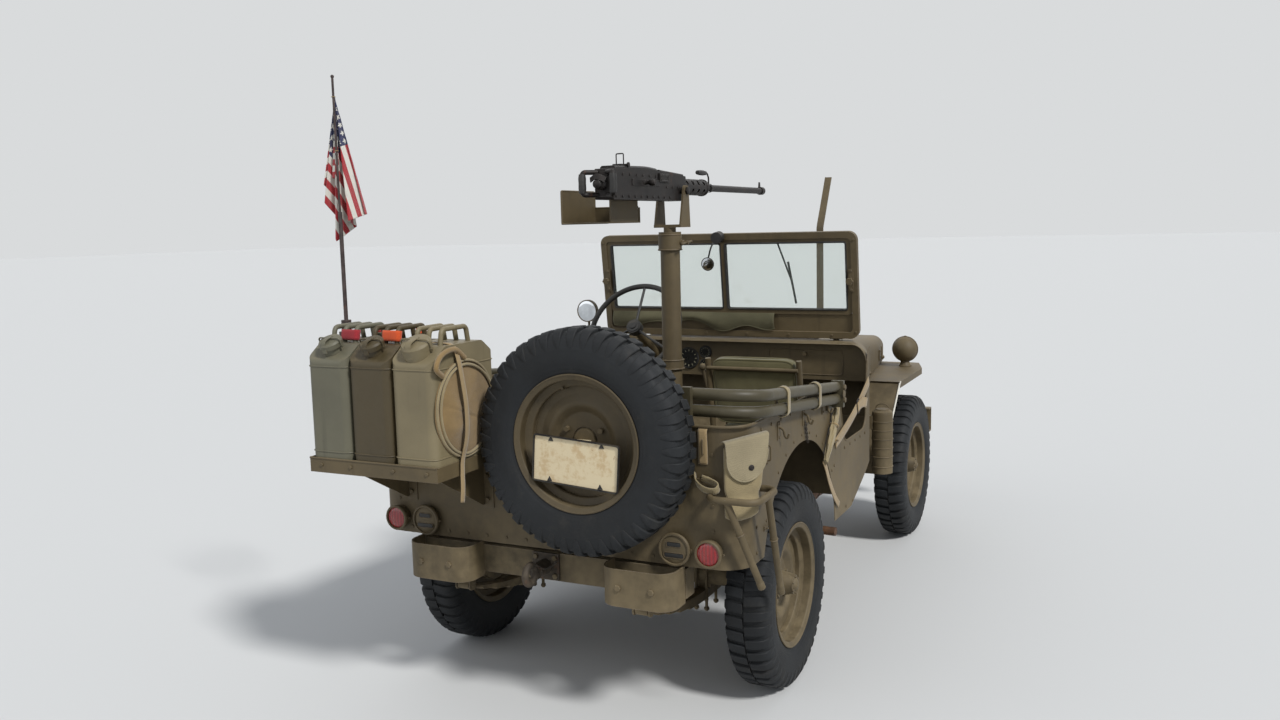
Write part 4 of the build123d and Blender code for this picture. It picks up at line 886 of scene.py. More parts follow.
def folded_bucket():
    """A flat round of canvas: a soft heap stands off its middle, with creases that fan from the heap's foot
    and a sewn seam across."""
    r = np.linspace(0, 1, 40)[:, None]
    a = around(120)
    y, z = bucket_radius * r * np.cos(a), bucket_radius * r * np.sin(a)
    heap = np.exp(-(((y + 0.074) / 0.062) ** 2 + ((z + 0.026) / 0.07) ** 2) ** 1.3)
    crease = 0.1 * np.sin(8 * a + 2.2 * np.sin(a) + 7 * r) * r * (1 - r**6) * (0.25 + heap)
    seam = -0.1 * np.exp(-((z + 0.35 * y + 0.02) / 0.006) ** 2) * (1 - r**4)
    face = np.clip(0.3 * (1 - r**5) + 0.6 * heap + crease + seam, 0.03, 0.97)
    front = np.stack([bucket_low[0] + bucket_depth * face, bucket_centre[1] + y, bucket_centre[2] + z], -1)
    back = np.stack([np.full_like(y, bucket_low[0]), bucket_centre[1] + y, bucket_centre[2] + z], -1)[::-1]
    return surface(np.concatenate([front, back]), wrap_columns=True)


def bucket_rims():
    """The bucket's roped rim lies in two rounds and kinks where it was folded."""
    a = around(96)
    rims = []
    for shrink, out, kink in ((0.005, 0.006, 0.0), (0.016, 0.011, 0.006)):
        radius = bucket_radius - shrink + kink * np.sin(3 * a + 1) * np.exp(-((np.sin(a / 2)) / 0.8) ** 2)
        rope = np.stack([np.full(96, bucket_low[0] + out), bucket_centre[1] + radius * np.cos(a),
                         bucket_centre[2] + radius * np.sin(a)], -1)
        rims.append(tube(rope, 0.0045, 8, loop=True, across=RIGHT))
    return joined(*rims)


bucket = piece("bucket_canvas", folded_bucket(), "car", brown_canvas, "khaki_canvas", replaces=("canvas_bucket",))
piece("bucket_rims", bucket_rims(), "car", khaki, "khaki_canvas")
handle = smooth(course((-0.158, -0.86, 1.185), (-0.15, -0.9, 1.215), (-0.15, -0.87, 1.252), (-0.152, -0.8, 1.262),
                       (-0.155, -0.745, 1.23)))
piece("bucket_handle", tube(handle, 0.0085, 10), "car", brown_canvas, "khaki_canvas", crease=80)
can_strap = smooth(course(*((x, -0.784, z) for x, z in (
    (-0.29, 1.2775), (-0.22, 1.279), (-0.172, 1.272), (-0.152, 1.235), (-0.138, 1.16), (-0.128, 1.08), (-0.13, 0.99),
    (-0.15, 0.91), (-0.1535, 0.872))), (-0.15, -0.79, 0.82), (-0.147, -0.8, 0.775)), 6)
ribbon("can_strap", [(can_strap, AHEAD)], 0.02, webbing, "webbing")

# Canvas pouch behind the right corner handle, with a round flap

bag_out = unit((1, -1, 0))
bag_across = unit((1, 1, 0))
bag_foot = at(0.6, -0.445, 0) + 0.1003 * bag_out


def on_bag(across, up, out):
    """A place on the bag: along its width, its height above the ground, and its depth off the tub."""
    across, up, out = np.broadcast_arrays(across, up, out)
    return bag_foot + across[..., None] * bag_across + up[..., None] * np.array(UP) + out[..., None] * bag_out


def pouch():
    """A slack pouch drawn as rings of a rounded section: waisted where the handle holds it."""
    s = np.linspace(0, 1, 44)
    up = 0.728 + 0.25 * s
    width = 0.05 + 0.02 * s**0.6 - 0.007 * np.exp(-((up - 0.805) / 0.018) ** 2)
    depth = 0.0145 + 0.0025 * np.sin(9 * s) - 0.004 * np.exp(-((up - 0.805) / 0.016) ** 2)
    close = np.clip(np.minimum(s, 1 - s) * 14, 0, 1) ** 0.4
    a = around(64)
    ripple = 1 + 0.06 * np.sin(5 * a + 14 * s[:, None]) * np.exp(-((up - 0.79) / 0.05) ** 2)[:, None]
    across = 0.004 + 0.014 * s[:, None] + (width * close)[:, None] * powered(np.cos(a), 0.55)
    out = 0.0168 + (depth * close)[:, None] * ripple * powered(np.sin(a), 0.7)
    points = on_bag(across, up[:, None] + 0.006 * across / 0.07, np.clip(out, 0.0002, 0.0338))
    cap = [points[:1].mean(1, keepdims=True).repeat(64, 1), points, points[-1:].mean(1, keepdims=True).repeat(64, 1)]
    return surface(np.concatenate(cap), wrap_columns=True)


def pouch_flap():
    """The flap rolls over the pouch's mouth and ends in a half round, a little skewed and curled."""
    s = np.linspace(-1, 1, 48)[:, None]
    t = np.linspace(0, 1, 34)[None]
    reach = 0.045 + 0.082 * np.sqrt(np.clip(1 - s**2, 0, 1))
    over = np.clip(t * 3.4, 0, 1)
    down = np.clip(t - 0.294, 0, 1) / 0.706
    across = 0.018 + 0.073 * s * (1 - 0.06 * down) + 0 * t
    out = 0.0168 - 0.0158 * np.cos(np.pi * over) * np.ones_like(s) + 0.003 * down * (1 + np.sin(3 * s + 1))
    up = 0.982 + 0.011 * s + 0.006 * np.sin(np.pi * over) - down * reach
    return on_bag(across, up, np.maximum(out, 0.0006) + 0.0012)


flap_points = pouch_flap()
bag = piece("bag_pouch", pouch(), "car", khaki, "khaki_canvas", replaces=("side_bag",), crease=80)
flap = piece("bag_flap", surface(flap_points), "car", pale_khaki, "khaki_canvas", thick=0.0022, crease=80)
piece("bag_flap_binding", tube(flap_points[:, -1], 0.0026, 8, across=bag_out), "car", pale_khaki, "khaki_canvas")
stitches = [tube(flap_points[3:-3, column], 0.0009, 6, across=bag_out) for column in (27, 30)]
piece("bag_stitching", joined(*stitches), "car", pale_khaki, "khaki_canvas")
piece("bag_stud", turned([(0, -0.001), (0.009, 0), (0.009, 0.002), (0.006, 0.0045), (0, 0.005)],
                         flap_points[27, 26] + 0.0015 * bag_out, bag_out, steps=20), "car", gun_steel, "dark_steel")

# Small hardware


def dome(centre, axis, radius, rise, steps=32):
    """A shallow dome."""
    profile = [(radius * share, rise * (1 - share**2) ** 0.5) for share in np.linspace(1, 0, 9)]
    return turned(profile, np.asarray(centre), axis, steps=steps)


def flat_bar(width, gauge, path, across):
    """A flat bar or strap along a path, its width lying across."""
    return carried(flat_section(width, gauge), path, across=across)


def wire_box(centre, right, up, half, corner, gauge, sides=8, **more):
    """A wire bent to a rounded rectangle."""
    return tube(round_box(centre, right, up, half, corner), gauge, sides, loop=True, **more)


def hose(places, steps, radius, sides):
    """A round bar on a smooth path through places given as for at()."""
    return tube(smooth(course(*places), steps), radius, sides)


def knob_outline(radius, depth, scallops, sides):
    """A round outline with shallow scallops."""
    return circle(1, sides) * (radius + depth * np.cos(scallops * around(sides)))[:, None]


def staple(centre, along, outward):
    """A footman loop: a bar bent over two flat feet, each with a screw."""
    centre, along, outward = np.asarray(centre), unit(along), unit(outward)
    feet = [centre - 0.024 * along, centre + 0.024 * along]
    bar = bent([feet[0], feet[0] + 0.013 * outward, feet[1] + 0.013 * outward, feet[1]], 0.006)
    pads = [flat_bar(0.016, 0.003, np.array((f - 0.012 * along, f + 0.012 * along)) + 0.0015 * outward,
                     np.cross(along, outward)) for f in feet]
    screws = heads([f + 0.003 * outward + 0.008 * d * along for f, d in zip(feet, (-1, 1))], outward, 0.0045, 0.002)
    return joined(tube(bar, 0.0028, 8), *pads, screws)


def latch(centre, up, outward):
    """A sprung hood catch: base plate, bent wire bail and a turned grip."""
    centre, up, outward = np.asarray(centre), unit(up), unit(outward)
    side = np.cross(up, outward)
    base = flat_bar(0.034, 0.004, np.array((centre - 0.03 * up, centre + 0.03 * up)) + 0.002 * outward, side)
    bail = bent([centre + x * side + z * up + 0.012 * outward for x, z in
                 ((-0.011, -0.02), (-0.011, 0.05), (0.011, 0.05), (0.011, -0.02))], 0.008)
    grip = turned([(0, 0), (0.009, 0.002), (0.011, 0.012), (0.007, 0.02), (0, 0.022)],
                  centre - 0.008 * up + 0.006 * outward, outward, steps=14)
    bolts = heads([centre + z * up + 0.004 * outward for z in (-0.023, 0.023)], outward, 0.005, 0.003)
    return joined(base, tube(bail, 0.0024, 8), grip, bolts)


# Tub: fasteners, loops and hooks

tub_rear, tub_side = -0.5455, 0.7005
rear_rows = [((-0.55, 0.59), (0.55, 0.59), 15), ((-0.55, 1.0), (0.55, 1.0), 13),
             ((-0.6, 0.69), (-0.6, 0.93), 4), ((0.6, 0.69), (0.6, 0.93), 4)]
side_rows = [((-0.38, 0.985), (0.4, 0.985), 9), ((0.62, 0.49), (0.72, 0.49), 2), ((0.6, 0.735), (0.92, 0.735), 5),
             ((-0.43, 0.6), (-0.43, 0.93), 5), ((0.45, 0.59), (0.45, 0.9), 4)]
tub_rivets = [heads(np.linspace(at(x0, tub_rear, z0), at(x1, tub_rear, z1), count), BACK, 0.006, 0.0028)
              for (x0, z0), (x1, z1), count in rear_rows]
tub_rivets += [both_sides(heads(np.linspace(at(tub_side, y0, z0), at(tub_side, y1, z1), count), RIGHT, 0.006, 0.0028))
               for (y0, z0), (y1, z1), count in side_rows]
arch_places = clock(at(tub_side, 0.04, 0.445), AHEAD, UP, 0.445, np.radians(np.linspace(32, 148, 11)))
tub_rivets.append(both_sides(heads(arch_places, RIGHT, 0.0052, 0.0024)))
painted("tub_rivets", *tub_rivets, crease=30)

side_loops = [((0.7, 0.1, 0.93), AHEAD), ((0.7, -0.33, 0.9), UP), ((0.7, 0.44, 0.79), AHEAD),
              ((0.7, -0.33, 0.66), AHEAD)]
rear_loops = [((0.573, -0.545, 0.955), UP), ((0.3, -0.545, 0.72), RIGHT), ((-0.62, -0.545, 0.76), UP),
              ((-0.05, -0.545, 0.79), RIGHT), ((0.553, -0.545, 0.855), RIGHT)]
loops = [both_sides(staple(at(*place), along, RIGHT)) for place, along in side_loops]
loops += [staple(at(*place), along, BACK) for place, along in rear_loops]
painted("tub_loops", *loops)


def rope_hook(y, z):
    """A side hook: a backing plate, and a bar bent out, down and up again."""
    back = flat_bar(0.03, 0.003, course((0.7, y, z - 0.03), (0.7, y, z + 0.03)) + (0.0015, 0, 0), AHEAD)
    bar = hose([(0.702, y, z + 0.012), (0.716, y, z + 0.004), (0.722, y, z - 0.016), (0.73, y, z - 0.022),
                (0.737, y, z - 0.008)], 5, 0.0042, 9)
    return joined(back, bar, heads(spread(0.703, y, (z - 0.022, z + 0.024)), RIGHT, 0.0055, 0.003))


def chain(start, finish, sag, links):
    """Welded links along a sagging line, each a quarter turn from the last."""
    t = np.linspace(0, 1, links)[:, None]
    line = start + t * (finish - start) - np.array((0, 0, sag)) * 4 * t * (1 - t)
    oval = circle(1, 13)[:, (0, 0, 1)] * (0.0038, 0, 0.0075)
    made = []
    for number, (place, along) in enumerate(zip(line, unit(np.gradient(line, axis=0)))):
        base = standing(along, RIGHT if number % 2 else (0, 1, 0.1))
        made.append(tube(oval @ base.T + place, 0.0016, 6, loop=True))
    return joined(*made)


painted("rope_hooks", both_sides(*(rope_hook(y, 0.95) for y in (-0.21, 0.06, 0.3))))
for name, start, finish, sag, links in (("pin_chain", (0.707, 0.06, 0.93), (0.707, 0.085, 0.86), 0.0, 10),
                                        ("pintle_chain", (0.045, -0.558, 0.535), (0.012, -0.64, 0.545), 0.02, 11)):
    piece(name, chain(at(*start), at(*finish), sag, links), "car", cast_steel, "cast_parts")

# Cloth bundled round the right handle's bracket, and the strap over the bracket

bundle = smooth(course((0.545, -0.552, 0.872), (0.556, -0.566, 0.845), (0.585, -0.575, 0.828), (0.62, -0.578, 0.826),
                       (0.628, -0.567, 0.84), (0.6, -0.556, 0.85), (0.57, -0.56, 0.86)))
ribbon("handle_bundle", [(bundle, (0, -0.5, 1))], 0.024, khaki, "khaki_canvas", gauge=0.004)
bracket_strap = smooth(course((0.573, -0.5475, 1.012), (0.573, -0.556, 1.0), (0.573, -0.553, 0.95),
                              (0.571, -0.5475, 0.9)))
ribbon("bracket_strap", [(bracket_strap, RIGHT)], 0.03, webbing, "webbing", gauge=0.004)

# Rear lamps: a round red one, and one whose face has two dark slots

lamp_shells, red_faces, dark_faces = [], [], []
for x, radius, depth, slotted in ((0.594, 0.045, 0.038, False), (0.476, 0.054, 0.026, True)):
    centre = at(x, -0.545, 0.625)
    lamp_shells.append(turned([(0.6 * radius, 0), (radius * 0.86, 0.003), (radius * 0.95, depth * 0.7),
                               (radius, depth * 0.74), (radius, depth - 0.004), (radius - 0.003, depth),
                               (radius - 0.0075, depth), (radius - 0.0085, depth - 0.006), (0, depth - 0.006)],
                              centre, BACK, steps=48))
    lamp_shells.append(heads([centre + (s * (radius + 0.001), -depth * 0.5, 0) for s in (-1, 1)], BACK, 0.0045, 0.004))
    face = centre + (0, -(depth - 0.006), 0)
    if slotted:
        lamp_shells.append(dome(face, BACK, radius - 0.009, 0.005))
        for z, half in ((0.017, 0.023), (-0.018, 0.032)):
            dark_faces.append(moved(stuffed((half, 0.0065, 0.0024), steps=(10, 24)), standing(BACK, RIGHT),
                                    face + (0, -0.0045, z)))
            lamp_shells.append(wire_box(face + (0, -0.0047, z), RIGHT, UP, (half + 0.002, 0.0085), 0.006, 0.0016, 6))
    else:
        red_faces += [dome(face, BACK, radius - 0.0086, 0.0055, steps=40),
                      ring(face + (0, -0.0035, 0), BACK, radius * 0.55, 0.0012)]
painted("rear_lamp_shells", both_sides(*lamp_shells), replaces=("rear_lamps",))
piece("rear_lamp_reds", both_sides(*red_faces), "car", red_lens, "red_lens")
piece("rear_lamp_slots", both_sides(*dark_faces), "car", black, "black_plastic")

# Front lamps: headlamps, marker lamps and the ball lamp on the right fender

headlamps = [at(side * headlamp_place[0], *headlamp_place[1:]) for side in (-1, 1)]
# The headlamp lenses carry a painted reflection of a lit bowl and bulb.
piece("headlamp_lenses", joined(*(dome(place, AHEAD, headlamp_radius, 0.011, steps=48) for place in headlamps)), "car",
      headlamp_painted_reflection, "lamp_parts")
markers = [turned([(0, 0.03), (0.03, 0.026), (0.033, 0.02), (0.033, 0.002), (0.022, 0)], at(x, 2.34, 0.9), AHEAD,
                  steps=28) for x in (-0.29, 0.29)]
piece("headlamp_bezels", joined(*(ring(place, AHEAD, 0.085, 0.006, steps=56) for place in headlamps), *markers), "car",
      paint, "lamp_parts")
ball_x, ball_y, ball_z = 0.6, 2.165, 0.948
ball_parts = [
    ring(at(ball_x, ball_y, ball_z), AHEAD, 0.0655, 0.0032, steps=56),
    turned([(0.034, 0), (0.034, 0.004), (0.026, 0.012), (0.022, 0.03), (0, 0.03)], at(ball_x, ball_y, 0.857), UP,
           steps=28),
    turned([(0.008, 0), (0.008, 0.006), (0, 0.009)], at(ball_x, ball_y, ball_z + 0.063), UP, steps=16),
    heads(clock(at(ball_x, ball_y, 0.862), RIGHT, AHEAD, 0.027, (0.8, 2.9, 5.0)), UP, 0.005, 0.003)]
piece("ball_lamp_fittings", joined(*ball_parts), "car", paint, "lamp_parts")

# Number plate frame, clips and bolts

plate_face = np.array((plate_centre[0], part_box("number_plate")[0][1], plate_centre[2]))
plate_side = np.array((math.cos(plate_tilt), 0, math.sin(plate_tilt)))
plate_up = np.array((-math.sin(plate_tilt), 0, math.cos(plate_tilt)))
frame_line = round_box(plate_face + (0, -0.0015, 0), plate_side, plate_up, (0.149, 0.073), 0.011)
frame_bar = carried([(-0.0045, -0.0012), (0.0045, -0.0012), (0.0045, 0.0008), (0, 0.0022), (-0.0045, 0.0008)],
                    frame_line, loop=True)
clip_places = [plate_face + a * 0.089 * plate_side + b * 0.064 * plate_up for a in (-1, 1) for b in (-1, 1)]
clips = [turned([(0.011, 0), (0.01, 0.0016), (0, 0.0016)], p + (0, -0.0004, 0), BACK, steps=3) for p in clip_places]
piece("plate_frame", joined(frame_bar, *clips, heads([p + (0, -0.0018, 0) for p in clip_places], BACK, 0.0042, 0.0022)),
      "car", black, "black_plastic")

# Windshield: seals, knobs, hold-downs, mirrors, and the cloth over its lower panel

lean = math.radians(6.7)
screen_foot = at(0, 1.14, 1.112)
screen_across = np.array((1.0, 0, 0))
screen_up = np.array((0, -math.sin(lean), math.cos(lean)))
screen_back = np.array((0, -math.cos(lean), -math.sin(lean)))


def on_screen(x, up, out):
    """Places on the windshield's plane, by how far they stand across, up and to the rear."""
    x, up, out = (np.asarray(number)[..., None] for number in (x, up, out))
    return screen_foot + x * screen_across + up * screen_up + out * screen_back


seals = [wire_box(on_screen(side * 0.292, 0.2785, out), screen_across, screen_up, (0.2805, 0.1505), 0.012, 0.0042)
         for side in (-1, 1) for out in (-0.0085, 0.0085)]
piece("glass_seals", joined(*seals), "windshield", black, "black_plastic")
knobs = []
for side in (-1, 1):
    stem = on_screen(side * 0.595, 0.262, 0.016)
    knobs += [flat_bar(0.022, 0.005, np.array((stem - 0.05 * screen_up, stem + 0.05 * screen_up)), screen_across),
              rod(stem, stem + 0.026 * screen_back, 0.006),
              carried(knob_outline(0.0145, 0.0016, 6, 40),
                      np.array((stem + 0.022 * screen_back, stem + 0.036 * screen_back)), across=screen_across),
              heads([stem + d * 0.042 * screen_up + 0.0025 * screen_back for d in (-1, 1)], screen_back, 0.006, 0.004),
              heads([on_screen(side * x, up, 0.0145)
                     for x, up in ((0.609, 0.03), (0.609, 0.44), (0.3, 0.014), (0.1, 0.014), (0.5, 0.014))],
                    screen_back, 0.006, 0.003)]
piece("windshield_fittings", joined(*knobs), "windshield", paint, "body_paint")
mirror_arm = smooth([on_screen(-0.02, 0.455, 0.04), on_screen(-0.034, 0.42, 0.062), on_screen(-0.05, 0.375, 0.06)], 6)
glass_centre = on_screen(-0.054, 0.345, 0.062)
mirror_shell = turned([(0, -0.011), (0.02, -0.01), (0.03, -0.002), (0.031, 0.004), (0.028, 0.006), (0.0275, 0.004),
                       (0, 0.004)], glass_centre, screen_back, steps=36)
piece("inner_mirror", joined(tube(mirror_arm, 0.004, 8), mirror_shell), "windshield", black, "black_plastic")
piece("mirror_faces", dome(glass_centre + 0.0041 * screen_back, screen_back, 0.0272, 0.0008), "windshield",
      mirror_plate, "screen_glass")


def screen_cover():
    """A cloth band buttoned along the windshield's lower panel: its free edge is a sum of slow waves."""
    s = np.linspace(0, 1, 90)[:, None]
    t = np.linspace(0, 1, 24)[None]
    drop = 0.052 + 0.018 * np.sin(9 * s + 1) + 0.02 * np.sin(21 * s) * s + 0.012 * s
    belly = 0.006 + 0.017 * np.sin(np.pi * t) * (0.7 + 0.3 * np.sin(13 * s)) + 0.012 * t
    return on_screen(-0.585 + 0.82 * s + 0 * t, 0.112 - t * drop, np.where(t < 0.04, 0.0035, belly))


cover_points = screen_cover()
cover = piece("screen_cover", surface(cover_points), "windshield", pad_cloth, "khaki_canvas", thick=0.002, crease=80)
piece("screen_cover_binding", tube(cover_points[:, -1], 0.003, 8, across=screen_back), "windshield", pad_cloth,
      "khaki_canvas")

mirror_centre = at(-0.76, 1.166, 1.213)
mirror_boss = turned([(0.012, 0), (0.012, 0.004), (0.007, 0.006), (0.006, 0.012), (0, 0.013)],
                     mirror_centre + (0, 0.02, 0), AHEAD, steps=20)
piece("door_mirror_face", dome(mirror_centre, BACK, 0.0505, 0.0015), "car", mirror_plate, "screen_glass")
painted("door_mirror_rim", ring(mirror_centre, BACK, 0.0522, 0.0026, steps=56), mirror_boss)

# Dash: gauges, switches and the box on the right

dash_y = 1.05
dial_shells, dial_faces, dial_uv = [], [], []
for x, z, radius in ((-0.16, 1.012, 0.045), (-0.243, 1.042, 0.024), (-0.243, 0.982, 0.024), (-0.077, 1.042, 0.024),
                     (-0.077, 0.982, 0.024)):
    centre = at(x, dash_y, z)
    dial_shells.append(turned([(radius + 0.006, 0), (radius + 0.006, 0.004), (radius + 0.003, 0.0075),
                               (radius, 0.0075), (radius - 0.001, 0.004)], centre, BACK, steps=40))
    r, a = np.meshgrid(np.linspace(0.02, 1, 8), np.linspace(0, 1, 41), indexing="ij")
    x_out, z_out = radius * r * np.sin(a * math.tau), radius * r * np.cos(a * math.tau)
    dial_faces.append(surface(centre + np.stack([x_out, np.full_like(r, -0.0042), z_out], -1)))
    dial_uv.append(np.stack([a, r], -1).reshape(-1, 2))
dial_shells += [turned([(0.005, 0), (0.005, 0.012), (0.011, 0.014), (0.012, 0.022), (0.009, 0.026), (0, 0.027)],
                       at(x, dash_y, 0.962), BACK, steps=20) for x in (-0.34, -0.31, 0.0, 0.05, 0.1)]
piece("dash_bezels", joined(*dial_shells), "car", black, "black_plastic")
piece("dash_dials", joined(*dial_faces), "car", dials, "black_plastic", uv=np.concatenate(dial_uv), doubles=False)
box_lid = wire_box(at(0.4, dash_y - 0.0005, 1.012), RIGHT, UP, (0.17, 0.055), 0.02, 0.0028, 6, across=AHEAD)
box_knob = turned([(0.006, 0), (0.006, 0.008), (0.011, 0.012), (0.01, 0.018), (0, 0.019)], at(0.4, dash_y, 1.05), BACK,
                  steps=20)
painted("dash_box", box_lid, box_knob)

# Hood catches and hinge, fender edges and bolts

hood_side = []
for y in (1.5, 2.12):
    half = 0.596 + (0.445 - 0.596) * (y - 1.19) / 1.14
    hood_side.append(latch(at(half + 0.001, y, 0.915), UP, (1, 0.13, 0)))
piece("hood_catches", both_sides(*hood_side), "hood", paint, "body_paint")
painted("hood_hinge_bolts", heads(spread((-0.38, -0.2, 0, 0.2, 0.38), 1.17, 1.1005), UP, 0.007, 0.003))
slope = course(*((0.6985, y, z) for y, z in ((1.607, 0.856), (1.59, 0.848), (1.5, 0.764), (1.4, 0.675), (1.31, 0.592))))
# The white beads along the fenders' sloped outer edges are a painted highlight: the glint on each rounded edge is drawn
# as white paint, with chips on it.
highlight_bead_paint = field_paint("white bead painted as highlight", shade(226, 222, 210), chips_and_edge_highlight=0.8, grime=0.3)
piece("fender_beads", both_sides(tube(slope, 0.0042, 10)), "car", highlight_bead_paint, "body_paint")
fender_rows = [((0.42, 2.3, 0.858), (0.42, 1.65, 0.858), 6, UP, 0.003),
               ((0.56, 1.47, 0.735), (0.67, 1.47, 0.735), 3, (0, -0.67, 0.74), 0.004)]
painted("fender_bolts", *(both_sides(heads(np.linspace(at(*start), at(*finish), count), outward, 0.006, height))
                          for start, finish, count, outward, height in fender_rows))

# Ribbed canister: raised hoops, a shoulder, a carrying bail and a neck ring

can_x, can_y = 0.705, 1.215
hoops = [ring(at(can_x, can_y, z), UP, 0.0462, 0.0026, steps=48) for z in (0.53, 0.575, 0.615, 0.655, 0.695, 0.735)]
hoops.append(turned([(0.046, 0), (0.044, 0.012), (0.034, 0.02), (0.0285, 0.0215)], at(can_x, can_y, 0.765), UP,
                    steps=48))
bail = smooth([at(can_x + 0.03 * math.cos(a), can_y, 0.79 + 0.022 * math.sin(a)) for a in np.linspace(0.1, 3.04, 7)], 5)
hoops += [tube(bail, 0.0025, 8), ring(at(can_x, can_y, 0.787), UP, 0.0285, 0.003)]
painted("canister_hoops", *hoops)

# Straps and pivots on the folded bows


def bow_strap(top, low, outward):
    """A band round the two stacked bows."""
    half = (top - low)[2] / 2
    angle = np.linspace(0, math.tau, 41)
    out = 0.0215 * np.cos(angle)
    rise = 0.0215 * np.sin(angle) + np.sign(np.round(np.sin(angle), 6)) * half
    return (top + low) / 2 + out[:, None] * np.array(outward) + rise[:, None] * np.array(UP)


side_straps = [(bow_strap(at(side * 0.728, y, z0), at(side * 0.728, y, z1), (side, 0, 0)), AHEAD)
               for y, z0, z1 in ((0.1, 1.047, 0.993), (-0.25, 1.083, 1.027)) for side in (-1, 1)]
back_straps = [(bow_strap(at(x, -0.505, 1.1095), at(x, -0.505, 1.0575), AHEAD), RIGHT) for x in (-0.3, 0.05, 0.42)]
ribbon("bow_straps", side_straps + back_straps, 0.026, khaki, "khaki_canvas", gauge=0.0022)
pivots = [heads(spread(0.7565, 0.385, (0.962, 1.01)), RIGHT, 0.011, 0.007),
          turned([(0.017, 0), (0.017, 0.002), (0.009, 0.003), (0, 0.003)], at(0.756, 0.385, 0.985), RIGHT, steps=24)]
painted("bow_pivots", both_sides(*pivots))

# Cans: seam beads, pressed crosses, lids with their levers, and coloured plugs

can_middles = (-0.583, -0.415, -0.247)
can_rear, can_top = -0.9007, 1.274


def flat_ridge(path, across, width=0.012, rise=0.0022):
    """A low pressed ridge along a path."""
    return carried(circle(1, 8) * (width / 2, rise), np.asarray(path), across=across)


def can_beads(x):
    """Folded seams round the can near its foot and its shoulder."""
    return joined(*(wire_box(at(x, can_rear + 0.17, z), RIGHT, AHEAD, (0.0812, 0.1702), 0.03, 0.0024)
                    for z in (0.928, 1.205)))


def can_cross(x):
    """The pressed frame and cross on a can's broad side."""
    low, high, foot, head = can_rear + 0.045, can_rear + 0.295, 0.955, 1.18
    corners = course((x, low, foot), (x, high, foot), (x, high, head), (x, low, head))
    pressed_frame = carried(circle(1, 8) * (0.0022, 0.005), bent(corners, 0.03, closed=True), across=RIGHT, loop=True)
    return joined(flat_ridge(corners[::2], UP), flat_ridge(corners[1::2], UP), pressed_frame)


def can_lid(x, along, size):
    """A sprung lid on its slanted neck: cap, bail over it and a thumb lever to the rear."""
    axis = unit((0, -0.444, 0.896))
    down = np.array((0, -0.896, -0.444))
    side = np.array((1.0, 0, 0))
    centre = at(x, can_rear + along - 0.018, can_top + 0.008)

    def on_lid(across, up, back=0.0):
        """A place about the lid's centre, in lid sizes."""
        return centre + size * (across * side + up * axis + back * down)

    cap = turned(size * np.array([(1.02, -0.4), (1.08, -0.38), (1.12, 0.06), (1.0, 0.24), (0.5, 0.3), (0, 0.3)]),
                 centre, axis, steps=36)
    bail = bent([on_lid(1.22 * a, b) for a, b in ((-1, -0.5), (-1, 0.42), (1, 0.42), (1, -0.5))], 0.3 * size)
    lever = smooth([on_lid(0, 0.42, -0.3), on_lid(0, 0.46, 0.8), on_lid(0, -0.55, 1.12)], 6)
    pins = [rod(on_lid(1.12 * a, -0.3), on_lid(1.32 * a, -0.3), 0.0042) for a in (-1, 1)]
    return joined(cap, tube(bail, 0.0027, 8), flat_bar(0.5 * size, 0.0032, lever, side), *pins)


fuel_fittings, plug_tops = [], []
for x in can_middles[:2]:
    centre = at(x, can_rear + 0.278, can_top + 0.01)
    fuel_fittings += [can_beads(x), can_lid(x, 0.046, 0.035),
                      turned([(0.0245, -0.006), (0.027, -0.005), (0.027, 0.004), (0.022, 0.0065)], centre, UP)]
    plug_tops += [carried(knob_outline(0.0205, 0.0012, 12, 72), centre + np.outer((0.003, 0.013, 0.0155), UP),
                          scale=(1, 1, 0.88), across=RIGHT),
                  flat_bar(0.03, 0.007, centre + np.outer((0.014, 0.022), UP), (1, 0.4, 0))]
fuel_fittings.append(can_cross(-0.6642))
piece("fuel_can_fittings", joined(*fuel_fittings), "car", fuel_enamel, "fuel_can_paint")
plug_enamel = can_enamel("plug enamel", (shade(150, 44, 34), shade(204, 84, 46)), split_x=-0.5)
piece("fuel_can_plugs", joined(*plug_tops), "car", plug_enamel, "fuel_can_paint")
piece("water_can_fittings", joined(can_beads(can_middles[2]), can_lid(can_middles[2], 0.0525, 0.044)), "car",
      water_enamel, "water_can_paint")


def cloth_tie(x):
    """A band wound once and a quarter round the rear legs of two handles, a little wider as it goes round."""
    leg, turn = unit((0, 0.01, 0.051)), np.radians(np.linspace(100, 550, 64))[:, None]
    centre = at(x, can_rear + 0.1, can_top + 0.024) + np.where(np.cos(turn) > 0, 0.0454, 0.0) * (1, 0, 0)
    out = np.cos(turn) * (1, 0, 0) + np.sin(turn) * np.cross(leg, RIGHT)
    return centre + out * np.linspace(0.0104, 0.0142, 64)[:, None], leg


red_rag = woven("red cloth ties", shade(150, 44, 50), threads=300)
orange_rag = woven("orange cloth ties", shade(206, 84, 42), threads=300)
for name, x, finish in (("red_tie", can_middles[0], red_rag), ("orange_tie", can_middles[1], orange_rag)):
    ribbon(name, [cloth_tie(x)], 0.034, finish, "khaki_canvas", gauge=0.0018)
lip_y, lip_z = -0.9045, 0.9045
painted("can_rack_fittings", heads(spread((-0.62, -0.5, -0.33, -0.2), -0.9055, 0.884), BACK, 0.0065, 0.004),
        tube(course((-0.668, lip_y, lip_z), (-0.162, lip_y, lip_z)), 0.0034, 8),
        tube(course((-0.6665, lip_y, lip_z), (-0.6665, -0.556, lip_z)), 0.003, 8),
        heads(spread((-0.54, -0.22), -0.5545, (0.72, 0.8)), BACK, 0.0075, 0.005))

# Display gun: cover, sights, charging handle, rivets, buffer, grips, barrel rings and carrying handle

